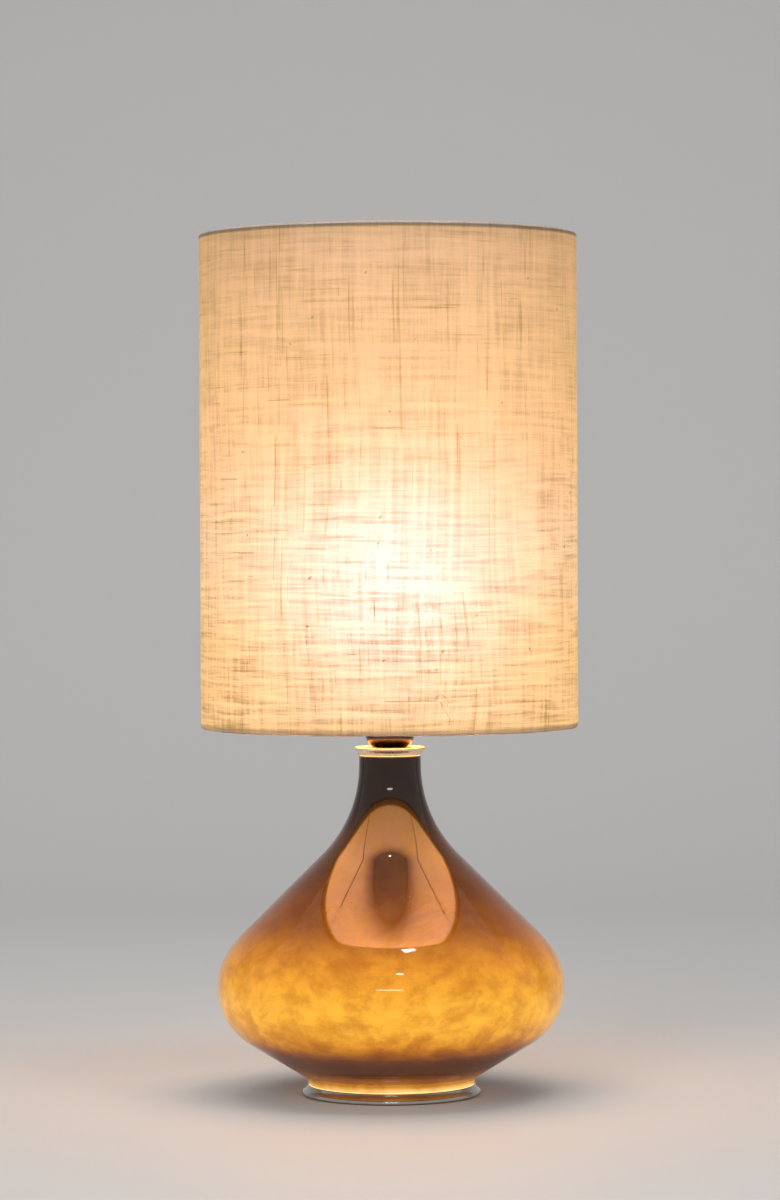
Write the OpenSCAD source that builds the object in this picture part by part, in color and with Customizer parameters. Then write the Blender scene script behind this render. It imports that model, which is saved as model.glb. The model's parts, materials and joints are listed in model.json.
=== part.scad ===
// Table lamp: a blown glass body on a flared metal foot, with a tall drum shade.
// All sizes are in millimetres. The origin is the middle of the felt pad's underside, +Z is up,
// and -Y is the front. The stack is foot, gasket, glass, gasket, collar, lampholder, held together
// by one threaded tube; the shade's wire hub is clamped between two rings on the lampholder.

/* [Foot] */
// Radius of the foot at its rim
foot_r = 71; // [69:0.5:80]
// Height of the top of the rim's upright edge above the table
foot_edge_h = 3.5; // [2.5:0.1:4.5]
// Radius at which the hollow flank meets the foot's top face
foot_top_r = 66.8; // [66.5:0.1:68]
// Height of the foot's top face above the table
foot_h = 8.5; // [8.4:0.1:12]
// Radius of the hollow curve of the foot's flank
flank_round = 8; // [5:0.5:20]
// Rounding of the foot's small edges
foot_edge_round = 0.6; // [0.2:0.1:1]
// Width of the bare metal rim around the felt pad
foot_rim_w = 2; // [1:0.5:4]
// Thickness of the felt pad
felt_t = 1.2; // [0.8:0.1:2]
// How far the felt pad stands below the metal rim
felt_proud = 0.6; // [0.3:0.1:0.8]

/* [Inside the foot] */
// Radius of the hollow under the deck
cavity_r = 50; // [46:1:54]
// Height of the deck's top face above the table
deck_z = 26; // [24:0.5:34]
// Thickness of the deck
deck_t = 3; // [2:0.5:5]
// Rounding of the boss's upper edge
boss_round = 3; // [1:0.5:5]
// Thickness of the bottom cover
cover_t = 1; // [0.8:0.1:1.2]
// How far the bottom cover reaches past the hollow
cover_lap = 8; // [6:0.5:9]
// Number of screws in the bottom cover
cover_screw_count = 3; // [2:1:6]
// Compass angle of the first cover screw, from +X
cover_screw_angle = 30; // [0:5:60]
// Number of screws that hold the ring board
board_screw_count = 3; // [2:1:6]

/* [Cord inlet] */
// Radius of the grommet's bore, for a round cord 5 mm thick
cord_bore_r = 2.6; // [2:0.1:2.7]
// Wall of the grommet
grommet_wall = 0.6; // [0.5:0.1:0.8]
// How far the grommet's flange reaches past its wall
grommet_flange = 1.1; // [0.5:0.1:1.2]
// Thickness of the grommet's flange
grommet_flange_t = 1.5; // [1:0.1:2.5]
// Length of the grommet behind its flange
grommet_l = 8.5; // [5:0.5:10]

/* [Glass body] */
// Height of the glass, from its lip to the top of its neck
glass_h = 261.4; // [250:0.1:300]
// Wall of the glass
glass_wall = 4; // [2.5:0.1:5]
// Outer radius of the lip
lip_r = 66.5; // [66:0.1:68]
// How much wider the lip is at the top of its short upright edge
lip_flare = 1; // [0:0.1:2]
// Height of the lip's upright edge
lip_h = 5; // [4:0.1:8]
// Radius of the hollow curve over the lip
lip_round = 4; // [2:0.5:6]
// Largest radius of the belly
belly_r = 138.4; // [130:0.1:150]
// Height of the widest point above the lip
belly_h = 77.2; // [72:0.1:84]
// Radius of the belly's round outline
belly_round = 51.5; // [46:0.5:56]
// Height above the lip at which the shoulder's slope would meet the neck
shoulder_h = 210.2; // [200:0.1:225]
// Radius of the long hollow curve from the shoulder into the neck
neck_round = 100; // [60:1:110]
// Radius at the foot of the neck
neck_root_r = 25; // [24:0.1:30]
// Radius at the top of the neck
neck_r = 24.6; // [24:0.1:30]

/* [Gaskets and collar] */
// Thickness of the gasket under the glass
foot_gasket_t = 0.5; // [0.3:0.1:1.5]
// Thickness of the gasket under the collar
neck_gasket_t = 0.8; // [0.3:0.1:1.5]
// Width of both gaskets
gasket_w = 3; // [2:0.1:3.2]
// Height of the collar above the gasket
collar_h = 6.1; // [5:0.1:9]
// Radius of the collar at its top
collar_r = 27.7; // [26:0.1:34]
// Radius of the collar where it meets the neck
collar_foot_r = 25.2; // [24:0.1:30]
// Height of the collar's upright upper edge
collar_edge_h = 2.2; // [1:0.1:3]
// How deep the collar's spigot goes into the neck
spigot_h = 9; // [4:0.5:20]
// Wall of the spigot
spigot_wall = 3; // [2:0.1:5]

/* [Threaded tube] */
// Outer radius of the threaded tube
rod_r = 5; // [4.5:0.1:6]
// Bore of the threaded tube
rod_bore_r = 4; // [3.4:0.1:4.2]
// Width across flats of the tube's nuts
nut_flats = 14; // [13:0.5:17]
// Height of the tube's nuts
nut_h = 3.5; // [2.5:0.1:5]
// Radius of the lock washer
washer_r = 9; // [8:0.5:14]
// Thickness of the lock washer
washer_t = 0.8; // [0.5:0.1:2]
// How far the tube reaches past its lower nut
rod_tail = 1.5; // [0.5:0.1:3]
// How far the tube reaches into the lampholder
rod_reach = 6; // [4.5:0.1:7]

/* [Light in the base] */
// Outer radius of the ring board
board_r = 50; // [45:0.5:52]
// Radius of the ring board's hole
board_bore_r = 15; // [14:0.5:18]
// Thickness of the ring board
board_t = 1.6; // [1:0.1:2.4]
// Radius of the circle of light chips
chip_circle_r = 38; // [32:0.5:42]
// Number of light chips
chip_count = 24; // [8:1:36]
// Length of a light chip
chip_l = 3.5; // [2:0.1:5]
// Width of a light chip
chip_w = 2.8; // [2:0.1:4]
// Height of a light chip
chip_h = 0.7; // [0.5:0.1:1.5]
// Radius of the circle of board screws
board_screw_circle_r = 22; // [20:0.5:26]
// Height of the opal cover over the board
diffuser_h = 11; // [8:0.5:20]
// Wall of the opal cover
diffuser_wall = 1.5; // [1:0.1:2.5]
// Rounding of the opal cover's upper edges
diffuser_round = 5; // [3:0.5:6]
// Length of the driver that feeds the board
driver_l = 46; // [36:1:50]
// Width of the driver
driver_w = 22; // [16:1:24]
// Height of the driver
driver_h = 13; // [10:0.5:15]
// Distance of the driver from the middle of the foot
driver_y = 30; // [28:0.5:32]
// Wall of the driver's potting lip
driver_lip = 1.5; // [1:0.1:2]

/* [Wiring] */
// Length of the terminal block
block_l = 24; // [18:0.5:28]
// Width of the terminal block
block_w = 16; // [12:0.5:18]
// Height of the terminal block
block_h = 16; // [15.5:0.5:18]
// Distance of the terminal block from the middle of the foot
block_y = 30; // [28:0.5:32]
// Radius of the terminal block's screws
block_screw_r = 1.6; // [1.2:0.1:2]
// Spacing of the terminal block's screws
block_screw_pitch = 9; // [8:0.5:10]
// Radius of the cable in the tube
cable_r = 2.7; // [2:0.1:3]
// Bend radius of the cable under the tube
cable_bend_r = 6; // [5:0.5:7]
// Radius of a single wire
wire_r = 0.9; // [0.6:0.1:1]
// Bend radius of the wires beside the driver
feed_bend_r = 12; // [8:0.5:12]
// Straight stretch of a wire where it leaves the driver
wire_straight = 1.5; // [1:0.5:3]
// Spacing of the two wires of a pair
wire_pitch = 2.6; // [2.2:0.1:3]
// Bend radius of the leads into the ring board
led_bend_r = 5; // [4:0.5:6]
// Bend radius of the leads inside the lampholder
lead_bend_r = 3; // [2:0.1:3]

/* [Lampholder] */
// Radius of the cap where it stands on the collar
cap_foot_r = 13.8; // [12:0.1:16]
// Outer radius of the lampholder
holder_r = 19.5; // [19.2:0.1:21]
// Height of the cap's flared part
cap_flare_h = 8.2; // [7:0.1:10]
// Radius of the cap's flare
cap_flare_round = 14; // [8:0.5:30]
// Full height of the cap
cap_h = 24.7; // [22:0.1:30]
// Thickness of the cap's threaded floor
cap_floor_t = 5; // [4:0.1:6]
// Wall of the cap
cap_wall = 1.4; // [1:0.1:2]
// Height of the sleeve above the cap
sleeve_h = 44; // [42:0.5:50]
// How deep the sleeve screws into the cap
sleeve_spigot_h = 4; // [2:0.5:5]
// Wall of the sleeve's spigot
sleeve_wall = 1.2; // [1:0.1:1.6]
// Length of the sleeve's outer thread
ring_thread_l = 24; // [18:0.5:30]
// Depth of the sleeve's outer thread
ring_thread_depth = 0.5; // [0.3:0.1:0.8]
// Thickness of the sleeve's lip over the core
sleeve_lip_t = 1.4; // [1:0.1:2]
// How far the core stands above the cap
core_rise = 2; // [1:0.5:4]
// Thickness of the core under the screw shell
core_floor_t = 16; // [14:0.5:18]
// Radius of the screw shell's bore
shell_bore_r = 13.5; // [13.4:0.05:13.8]
// Wall of the screw shell
shell_wall = 0.6; // [0.4:0.1:0.8]
// How far the screw shell stops below the core's rim
shell_drop = 0.6; // [0.2:0.1:2]
// Distance of the lampholder's terminals from its axis
terminal_x = 8; // [7:0.5:10]
// Radius of a lampholder terminal
terminal_r = 3; // [2.4:0.1:3.4]
// Height of a lampholder terminal
terminal_h = 6; // [4:0.5:6]
// Width of the centre contact's tongue
tongue_w = 5; // [3:0.5:6]
// Thickness of the centre contact's tongue
tongue_t = 0.5; // [0.3:0.1:0.6]
// Length of the centre contact's flat part
tongue_l = 9; // [7:0.5:11]
// How far the centre contact's nose stands up towards the bulb
tongue_rise = 1.7; // [1:0.1:2.5]
// Radius of the grub screw
grub_r = 1.5; // [1:0.1:1.8]

/* [Shade rings] */
// Outer radius of the two shade rings
ring_r = 25; // [23.5:0.1:25.5]
// Height of the lower shade ring
lower_ring_h = 4; // [3:0.5:6]
// Height of the upper shade ring
upper_ring_h = 5; // [4:0.5:8]
// How far the lower shade ring sits above the cap
lower_ring_rise = 1.5; // [0.5:0.5:4]
// Chamfer of the shade rings' edges
ring_chamfer = 0.8; // [0.4:0.1:1.2]
// Number of finger notches around each shade ring
notch_count = 20; // [12:1:28]
// Radius of a finger notch
notch_r = 1.2; // [0.8:0.1:1.6]

/* [Shade] */
// Outer radius of the shade
shade_r = 150; // [130:0.5:170]
// Height of the shade
shade_h = 392.9; // [300:0.1:450]
// Height of the shade's lower edge above the table
shade_z = 292.6; // [288:0.1:300]
// Thickness of the linen cover
fabric_t = 0.8; // [0.5:0.1:1.2]
// Thickness of the stiff liner
liner_t = 0.6; // [0.4:0.1:1]
// Radius of the wire that the shade's edges are rolled over
wire_ring_r = 1.4; // [1:0.1:2]
// Height of the strip that is turned in and glued to the liner
turn_in_h = 8; // [5:0.5:15]
// Width of the cover's lapped seam
seam_w = 15; // [8:0.5:25]
// Compass angle of the seam, behind the lamp
seam_angle = 110; // [100:1:120]
// How far the lapped seam stands out
seam_t = 0.5; // [0.2:0.1:0.8]
// Radius of the wire hub's outer edge
hub_r = 29; // [28:0.1:34]
// Thickness of the wire hub
hub_t = 2; // [1.5:0.1:3]
// Radius of a spoke
spoke_r = 1.5; // [1:0.1:1.8]
// Number of spokes
spoke_count = 3; // [3:1:4]
// Compass angle of the first spoke
spoke_angle = 90; // [0:5:90]

/* [Bulb] */
// Radius of the bulb's dome
dome_r = 30; // [27:0.5:34]
// Length of the bulb, from its contact to its crown
bulb_l = 118; // [105:0.5:130]
// How far below its middle the dome meets the housing
dome_drop = 12; // [8:0.5:16]
// Wall of the dome
dome_wall = 1.4; // [1:0.1:2]
// Radius of the screw cap over its thread
screw_cap_r = 13.2; // [13:0.05:13.2]
// Depth of the screw cap's thread
screw_cap_depth = 0.9; // [0.5:0.1:1.1]
// Height of the screw cap's threaded shell
screw_cap_h = 22; // [18:0.5:24]
// Pitch of the screw cap's thread
screw_pitch = 3.629; // [3.6:0.001:3.7]
// Wall of the screw cap
screw_cap_wall = 0.5; // [0.3:0.1:0.8]
// Radius of the contact under the bulb
contact_r = 4.5; // [3.5:0.1:5.5]
// Height of the contact under the bulb
contact_h = 1.6; // [1:0.1:2]
// Height of the insulator over the contact
insulator_h = 5; // [4:0.1:6]
// Radius of the insulator's upper edge
insulator_r = 10.5; // [9:0.1:11]
// Radius of the housing where it meets the screw cap
housing_foot_r = 13.8; // [13.4:0.1:14.2]
// Height of the housing's straight foot
housing_foot_h = 3; // [1:0.5:6]
// Radius of the housing's long hollow side
housing_round = 120; // [70:1:200]

/* [Clearances] */
// Gap between pieces that are pressed or screwed together
fit_gap = 0.05; // [0.02:0.01:0.1]
// Gap between pieces that are put together by hand
hand_gap = 0.5; // [0.3:0.05:0.6]
// Gap between pieces that move against each other
run_gap = 0.3; // [0.2:0.05:0.4]
// Gap between the shade's hub and the lampholder's thread
hub_gap = 0.6; // [0.3:0.1:1]

/* [Hidden] */
$fn = 96;

// steps along a rounded corner, and along the belly and the dome
arc_steps = 8;
belly_steps = 20;
// how far a cutting shape reaches past the face that it cuts
over = 1;

// foot
rim_z = felt_t - felt_proud;
felt_r = foot_r - foot_rim_w;
cover_r = cavity_r + cover_lap;
cover_top_z = felt_t + cover_t;
cover_screw_circle_r = cavity_r + cover_lap / 2;
cover_screw_shank_r = 1.5;
cover_screw_head_r = 2.8;
cover_screw_l = 6.5;
deck_under_z = deck_z - deck_t;
glass_z = foot_h + foot_gasket_t;
lip_bore_r = lip_r - glass_wall;
boss_r = lip_bore_r - hand_gap;
inlet_r = max(foot_r, foot_top_r);
cord_z = (felt_t + foot_h) / 2;
grommet_r = cord_bore_r + grommet_wall;

// light in the base
chip_angle = 360 / chip_count;
board_screw_r = 1.5;
board_screw_head_r = 2.7;
board_screw_head_h = 1.8;
diffuser_r = board_r + hand_gap + diffuser_wall;
diffuser_bore_r = board_bore_r - hand_gap - diffuser_wall;
wire_z = deck_under_z - driver_h / 2;
led_lead_x = driver_l / 2 + wire_straight + led_bend_r;
led_hole_r = wire_pitch / 2 + wire_r + hand_gap;
feed_x = driver_l / 2 + wire_straight + feed_bend_r;

// directions of the glass outline's straight stretches, and the centres of its round ones
belly_c = [belly_r - belly_round, belly_h];
lip_corner = [lip_r + lip_flare, lip_h];
neck_corner = [neck_root_r, shoulder_h];
lip_dir = direction(lip_corner - [lip_r, 0]);
under_dir = tangent_angle(lip_corner, belly_c, belly_round, 1) + 90;
shoulder_dir = tangent_angle(neck_corner, belly_c, belly_round, -1) + 90;
neck_top = [neck_r, glass_h];
neck_dir = direction(neck_top - neck_corner);

// the neck's hollow curve, held to what the neck is long enough for above its corner
neck_straight = 1;
neck_room = norm(neck_top - neck_corner) - neck_straight;
neck_curve_r = min(neck_round, neck_room / tan((shoulder_dir - neck_dir) / 2));

// neck, collar and tube
glass_top_z = glass_z + glass_h;
neck_bore_r = neck_r - glass_wall;
spigot_r = neck_bore_r - hand_gap;
collar_z = glass_top_z + neck_gasket_t;
collar_top_z = collar_z + collar_h;
rod_hole_r = rod_r + fit_gap;
rod_z = deck_under_z - washer_t - nut_h - rod_tail;
rod_top_z = collar_top_z + rod_reach;
nut_well_r = nut_flats / 2 / cos(30) + hand_gap;
nut_z = collar_top_z - nut_h - hand_gap;

// lampholder
cap_top_z = collar_top_z + cap_h;
cap_bore_r = holder_r - cap_wall;
sleeve_spigot_r = cap_bore_r - fit_gap;
sleeve_bore_r = sleeve_spigot_r - sleeve_wall;
sleeve_top_z = cap_top_z + sleeve_h;
thread_root_r = holder_r - ring_thread_depth;
thread_top_z = cap_top_z + ring_thread_l;
core_z = cap_top_z + core_rise;
core_r = sleeve_bore_r - fit_gap;
core_top_z = sleeve_top_z - sleeve_lip_t;
pocket_z = core_z + core_floor_t;
shell_r = shell_bore_r + shell_wall;
terminal_z = core_z - terminal_h;
grub_z = collar_top_z + cap_floor_t / 2;
lead_foot_x = wire_pitch / 2 + lead_bend_r;
lead_head_x = terminal_x - lead_bend_r;
cable_top_z = terminal_z - 2 * lead_bend_r;

// shade and its rings
lower_ring_z = cap_top_z + lower_ring_rise;
hub_z = lower_ring_z + lower_ring_h + run_gap;
hub_mid_z = hub_z + hub_t / 2;
upper_ring_z = hub_z + hub_t + run_gap;
roll_bore_r = wire_ring_r + fit_gap;
roll_r = roll_bore_r + fabric_t;
wire_circle_r = shade_r - roll_r;
low_wire_z = shade_z + roll_r;
top_wire_z = shade_z + shade_h - roll_r;
liner_r = shade_r - fabric_t;
turn_in_r = liner_r - liner_t;
spoke_foot_r = hub_r - spoke_r;
spoke_run = wire_circle_r - spoke_foot_r;
spoke_drop = hub_mid_z - low_wire_z;
spoke_l = norm([spoke_run, spoke_drop]);
spoke_tilt = atan2(spoke_run, -spoke_drop);
seam_sweep = seam_w / shade_r * 180 / PI;

// bulb
bulb_z = pocket_z + tongue_rise + run_gap;
insulator_z = bulb_z + contact_h;
screw_cap_z = insulator_z + insulator_h;
screw_cap_top_z = screw_cap_z + screw_cap_h;
screw_root_r = screw_cap_r - screw_cap_depth;
screw_start_h = 2;
screw_steps = 6;
dome_z = bulb_z + bulb_l - dome_r;
dome_angle = asin(dome_drop / dome_r);
dome_foot = [dome_r * cos(dome_angle), dome_z - dome_drop];
housing_z = screw_cap_top_z + fit_gap;
housing_side_z = housing_z + housing_foot_h;

// ---- shared shapes ----

function ray(a) = [cos(a), sin(a)];
function direction(v) = atan2(v[1], v[0]);

// angle, seen from c, at which the line from point p touches the circle c, r; side picks which of two
function tangent_angle(p, c, r, side) = direction(p - c) + side * acos(r / norm(p - c));

// points along an arc, from angle a0 to angle a1
function arc(c, r, a0, a1, steps = arc_steps) =
    [for (i = [0 : steps]) c + r * ray(a0 + (a1 - a0) * i / steps)];

// centre of the arc that rounds a turn to the right, at corner p between directions d0 and d1
function turn_centre(p, d0, d1, r) =
    let(n0 = ray(d0 - 90), n1 = ray(d1 - 90))
    p + r * (n0 + n1) / (1 + n0 * n1);

// arc from p to q that bends to the left for a positive radius; its centre lies left of the way
function bow(p, q, r, steps = arc_steps) =
    let(
        way = q - p,
        left = [-way[1], way[0]] / norm(way),
        reach = sqrt(r * r - way * way / 4) * sign(r),
        c = (p + q) / 2 + left * reach,
        a0 = direction(p - c),
        turn = direction(q - c) - a0,
        sweep = turn > 180 ? turn - 360 : turn < -180 ? turn + 360 : turn
    )
    arc(c, abs(r), a0, a0 + sweep, steps);

// rounded outline of a ring's section, open downwards
function ring_section(r0, r1, z0, z1, round) = concat(
    [[r0, z0], [r1, z0]],
    arc([r1 - round, z1 - round], round, 0, 90),
    arc([r0 + round, z1 - round], round, 90, 180)
);

module revolve(outline) {
    rotate_extrude() polygon(outline);
}

module pipe(r_in, r_out, z0, z1) {
    translate([0, 0, z0])
        difference() {
            cylinder(r = r_out, h = z1 - z0);
            translate([0, 0, -over]) cylinder(r = r_in, h = z1 - z0 + 2 * over);
        }
}

module around(count, radius, start = 0) {
    for (i = [0 : count - 1])
        rotate([0, 0, start + i * 360 / count])
            translate([radius, 0, 0])
                children();
}

// cylinder whose axis points to the rear, from y0 to y1
module rearward(r, y0, y1) {
    translate([0, y0, cord_z]) rotate([-90, 0, 0]) cylinder(r = r, h = y1 - y0);
}

// stretch of wire that bends in the upright plane of the X axis, about (x, z)
module wire_bend(x, z, bend_r, thick_r, start, sweep) {
    translate([x, 0, z])
        rotate([90, 0, 0])
            rotate([0, 0, start])
                rotate_extrude(angle = sweep)
                    translate([bend_r, 0]) circle(r = thick_r);
}

// screw with its head up, standing on the plane z = 0
module pan_screw(shank_r, shank_l, head_r, head_h) {
    slot_w = shank_r / 2;
    difference() {
        union() {
            translate([0, 0, -shank_l]) cylinder(r = shank_r, h = shank_l + head_h / 2);
            revolve(concat([[0, 0], [head_r, 0]], bow([head_r, head_h / 3], [0, head_h], 1.5 * head_r)));
        }
        for (turn = [0, 90])
            rotate([0, 0, turn])
                translate([-head_r / 2, -slot_w / 2, head_h / 2])
                    cube([head_r, slot_w, head_h]);
    }
}

// ---- foot ----

function foot_outline() = concat(
    [
        [rod_hole_r, deck_under_z],
        [cavity_r, deck_under_z],
        [cavity_r, cover_top_z],
        [cover_r + fit_gap, cover_top_z],
        [cover_r + fit_gap, felt_t],
        [felt_r + fit_gap, felt_t],
        [felt_r + fit_gap, rim_z],
    ],
    arc([foot_r - foot_edge_round, rim_z + foot_edge_round], foot_edge_round, -90, 0),
    bow([foot_r, foot_edge_h], [foot_top_r, foot_h], -flank_round),
    [[boss_r, foot_h]],
    arc([boss_r - boss_round, deck_z - boss_round], boss_round, 0, 90),
    [[rod_hole_r, deck_z]]
);

module foot_plate() {
    color("dimgray")
        difference() {
            revolve(foot_outline());
            rearward(grommet_r + fit_gap, 0, inlet_r + over);
            around(cover_screw_count, cover_screw_circle_r, cover_screw_angle)
                cylinder(r = cover_screw_shank_r, h = felt_t + cover_screw_l + over);
            around(board_screw_count, board_screw_circle_r)
                translate([0, 0, deck_under_z - over])
                    cylinder(r = board_screw_r, h = deck_t + 2 * over);
            translate([led_lead_x, -driver_y, deck_under_z - over])
                cylinder(r = led_hole_r, h = deck_t + 2 * over);
        }
}

module felt_pad() {
    color("black") cylinder(r = felt_r, h = felt_t);
}

module cover_screw_hole() {
    translate([0, 0, felt_t - over]) cylinder(r = cover_screw_shank_r + fit_gap, h = cover_t + 2 * over);
    translate([0, 0, felt_t])
        cylinder(r1 = cover_screw_head_r + fit_gap, r2 = cover_screw_shank_r + fit_gap, h = cover_t);
}

module bottom_cover() {
    color("silver")
        difference() {
            translate([0, 0, felt_t]) cylinder(r = cover_r, h = cover_t);
            around(cover_screw_count, cover_screw_circle_r, cover_screw_angle) cover_screw_hole();
        }
}

module cover_screws() {
    color("gainsboro")
        around(cover_screw_count, cover_screw_circle_r, cover_screw_angle)
            translate([0, 0, felt_t])
                union() {
                    cylinder(r1 = cover_screw_head_r, r2 = cover_screw_shank_r, h = cover_t);
                    cylinder(r = cover_screw_shank_r, h = cover_screw_l);
                }
}

module cord_grommet() {
    flange_r = grommet_r + grommet_flange;
    nose_round = grommet_flange_t / 2;
    color("black")
        difference() {
            union() {
                rearward(grommet_r, inlet_r - grommet_l, inlet_r + fit_gap);
                translate([0, inlet_r + fit_gap, cord_z])
                    rotate([-90, 0, 0])
                        revolve(ring_section(cord_bore_r, flange_r, 0, grommet_flange_t, nose_round));
            }
            rearward(cord_bore_r, inlet_r - grommet_l - over, inlet_r + grommet_flange_t + over);
        }
}

// ---- wiring in the foot ----

module terminal_block() {
    block_z = deck_under_z - block_h;
    color("ivory")
        difference() {
            translate([-block_l / 2, block_y - block_w / 2, block_z]) cube([block_l, block_w, block_h]);
            for (side = [-1, 1])
                translate([side * block_screw_pitch / 2, block_y, block_z - over])
                    cylinder(r = block_screw_r + hand_gap, h = block_h / 2 + over);
            translate([-over / 2, block_y - block_w / 2 - over, block_z - over])
                cube([over, block_w + 2 * over, block_h / 3 + over]);
        }
}

module terminal_screws() {
    color("goldenrod")
        for (side = [-1, 1])
            translate([side * block_screw_pitch / 2, block_y, deck_under_z - block_h / 2])
                mirror([0, 0, 1])
                    difference() {
                        cylinder(r = block_screw_r + hand_gap, h = block_h / 4);
                        translate([-block_screw_r, -block_screw_r / 4, block_h / 8])
                            cube([2 * block_screw_r, block_screw_r / 2, block_h]);
                    }
}

module led_driver() {
    driver_z = deck_under_z - driver_h;
    inner_l = driver_l - 2 * driver_lip;
    inner_w = driver_w - 2 * driver_lip;
    color("white")
        difference() {
            translate([-driver_l / 2, -driver_y - driver_w / 2, driver_z])
                cube([driver_l, driver_w, driver_h]);
            translate([-inner_l / 2, -driver_y - inner_w / 2, driver_z - over])
                cube([inner_l, inner_w, driver_lip + over]);
        }
}

// quarter turn of a feed wire in the level plane
module feed_turn(x, y, start) {
    translate([x, y, 0])
        rotate([0, 0, start])
            rotate_extrude(angle = 90)
                translate([feed_bend_r, 0]) circle(r = wire_r);
}

// two wires, one above the other, from the terminal block round to the driver
module feed_wires() {
    turn_x = feed_x - feed_bend_r;
    run_l = block_y + driver_y - 2 * feed_bend_r;
    color("saddlebrown")
        for (side = [-1, 1])
            translate([0, 0, wire_z + side * wire_pitch / 2]) {
                translate([-turn_x, block_y, 0])
                    rotate([0, 90, 0]) cylinder(r = wire_r, h = turn_x - block_l / 2);
                feed_turn(-turn_x, block_y - feed_bend_r, 90);
                translate([-feed_x, block_y - feed_bend_r, 0])
                    rotate([90, 0, 0]) cylinder(r = wire_r, h = run_l);
                feed_turn(-turn_x, feed_bend_r - driver_y, 180);
                translate([-turn_x, -driver_y, 0]) rotate([0, 90, 0]) cylinder(r = wire_r, h = wire_straight);
            }
}

// two wires, side by side, from the driver up through the deck to the ring board
module led_leads() {
    color("firebrick")
        for (side = [-1, 1])
            translate([0, -driver_y + side * wire_pitch / 2, 0]) {
                translate([driver_l / 2, 0, wire_z])
                    rotate([0, 90, 0]) cylinder(r = wire_r, h = wire_straight);
                wire_bend(led_lead_x - led_bend_r, wire_z + led_bend_r, led_bend_r, wire_r, -90, 90);
                translate([led_lead_x, 0, wire_z + led_bend_r])
                    cylinder(r = wire_r, h = deck_z - wire_z - led_bend_r);
            }
}

// ---- threaded tube ----

module hex_nut() {
    difference() {
        cylinder(r = nut_flats / 2 / cos(30), h = nut_h, $fn = 6);
        translate([0, 0, -over]) cylinder(r = rod_hole_r, h = nut_h + 2 * over);
    }
}

module threaded_rod() {
    color("silver") pipe(rod_bore_r, rod_r, rod_z, rod_top_z);
}

module lock_washer() {
    color("gainsboro") pipe(rod_hole_r, washer_r, deck_under_z - washer_t, deck_under_z);
}

module rod_nut_lower() {
    color("goldenrod") translate([0, 0, deck_under_z - washer_t - nut_h]) hex_nut();
}

module rod_nut_upper() {
    color("goldenrod") translate([0, 0, nut_z]) hex_nut();
}

// ---- light in the base ----

module led_board() {
    color("white")
        difference() {
            pipe(board_bore_r, board_r, deck_z, deck_z + board_t);
            around(board_screw_count, board_screw_circle_r)
                translate([0, 0, deck_z - over])
                    cylinder(r = board_screw_r + fit_gap, h = board_t + 2 * over);
        }
}

module led_chips() {
    color("gold")
        around(chip_count, chip_circle_r, chip_angle / 2)
            translate([-chip_w / 2, -chip_l / 2, deck_z + board_t]) cube([chip_w, chip_l, chip_h]);
}

module board_screws() {
    color("gainsboro")
        around(board_screw_count, board_screw_circle_r)
            translate([0, 0, deck_z + board_t])
                pan_screw(board_screw_r, board_t + deck_t, board_screw_head_r, board_screw_head_h);
}

module led_diffuser() {
    top_z = deck_z + diffuser_h;
    color("whitesmoke")
        difference() {
            revolve(ring_section(diffuser_bore_r, diffuser_r, deck_z, top_z, diffuser_round));
            revolve(ring_section(
                diffuser_bore_r + diffuser_wall,
                diffuser_r - diffuser_wall,
                deck_z - over,
                top_z - diffuser_wall,
                diffuser_round - diffuser_wall
            ));
        }
}

// ---- glass body, its gaskets and its collar ----

// half outline of the glass, from its lip to the top of its neck, moved inwards by inset
function glass_outline(inset) = concat(
    [[lip_r - inset, 0]],
    arc(
        turn_centre(lip_corner, lip_dir, under_dir, lip_round),
        lip_round + inset,
        lip_dir + 90,
        under_dir + 90
    ),
    arc(belly_c, belly_round - inset, under_dir - 90, shoulder_dir - 90, belly_steps),
    arc(
        turn_centre(neck_corner, shoulder_dir, neck_dir, neck_curve_r),
        neck_curve_r + inset,
        shoulder_dir + 90,
        neck_dir + 90,
        belly_steps
    ),
    [[neck_r - inset, glass_h]]
);

function reversed(points) = [for (i = [len(points) - 1 : -1 : 0]) points[i]];

module glass_body() {
    color("darkgoldenrod")
        translate([0, 0, glass_z])
            revolve(concat(glass_outline(0), reversed(glass_outline(glass_wall))));
}

module foot_gasket() {
    color("black") pipe(lip_bore_r + hand_gap, lip_bore_r + hand_gap + gasket_w, foot_h, glass_z);
}

module neck_gasket() {
    color("black") pipe(neck_bore_r + hand_gap, neck_bore_r + hand_gap + gasket_w, glass_top_z, collar_z);
}

module neck_collar() {
    round = foot_edge_round;
    flare_z = collar_top_z - collar_edge_h;
    color("wheat")
        difference() {
            union() {
                revolve(concat(
                    [[spigot_r - spigot_wall, collar_z], [collar_foot_r, collar_z]],
                    bow([collar_foot_r, collar_z + round], [collar_r, flare_z], -collar_h),
                    arc([collar_r - round, collar_top_z - round], round, 0, 90),
                    [[spigot_r - spigot_wall, collar_top_z]]
                ));
                pipe(spigot_r - spigot_wall, spigot_r, collar_z - spigot_h, collar_z + over);
                translate([0, 0, collar_z]) cylinder(r = spigot_r, h = collar_h - over);
            }
            translate([0, 0, collar_z - over]) cylinder(r = rod_hole_r, h = collar_h + 2 * over);
            translate([0, 0, nut_z]) cylinder(r = nut_well_r, h = collar_top_z - nut_z + over);
        }
}

// ---- cable and leads ----

module riser_cable() {
    entry_y = block_y - block_w / 2;
    color("white")
        union() {
            translate([0, 0, rod_z]) cylinder(r = cable_r, h = cable_top_z - rod_z);
            rotate([0, 0, 90]) wire_bend(cable_bend_r, rod_z, cable_bend_r, cable_r, 180, 90);
            translate([0, cable_bend_r, rod_z - cable_bend_r])
                rotate([-90, 0, 0]) cylinder(r = cable_r, h = entry_y - cable_bend_r);
        }
}

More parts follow.
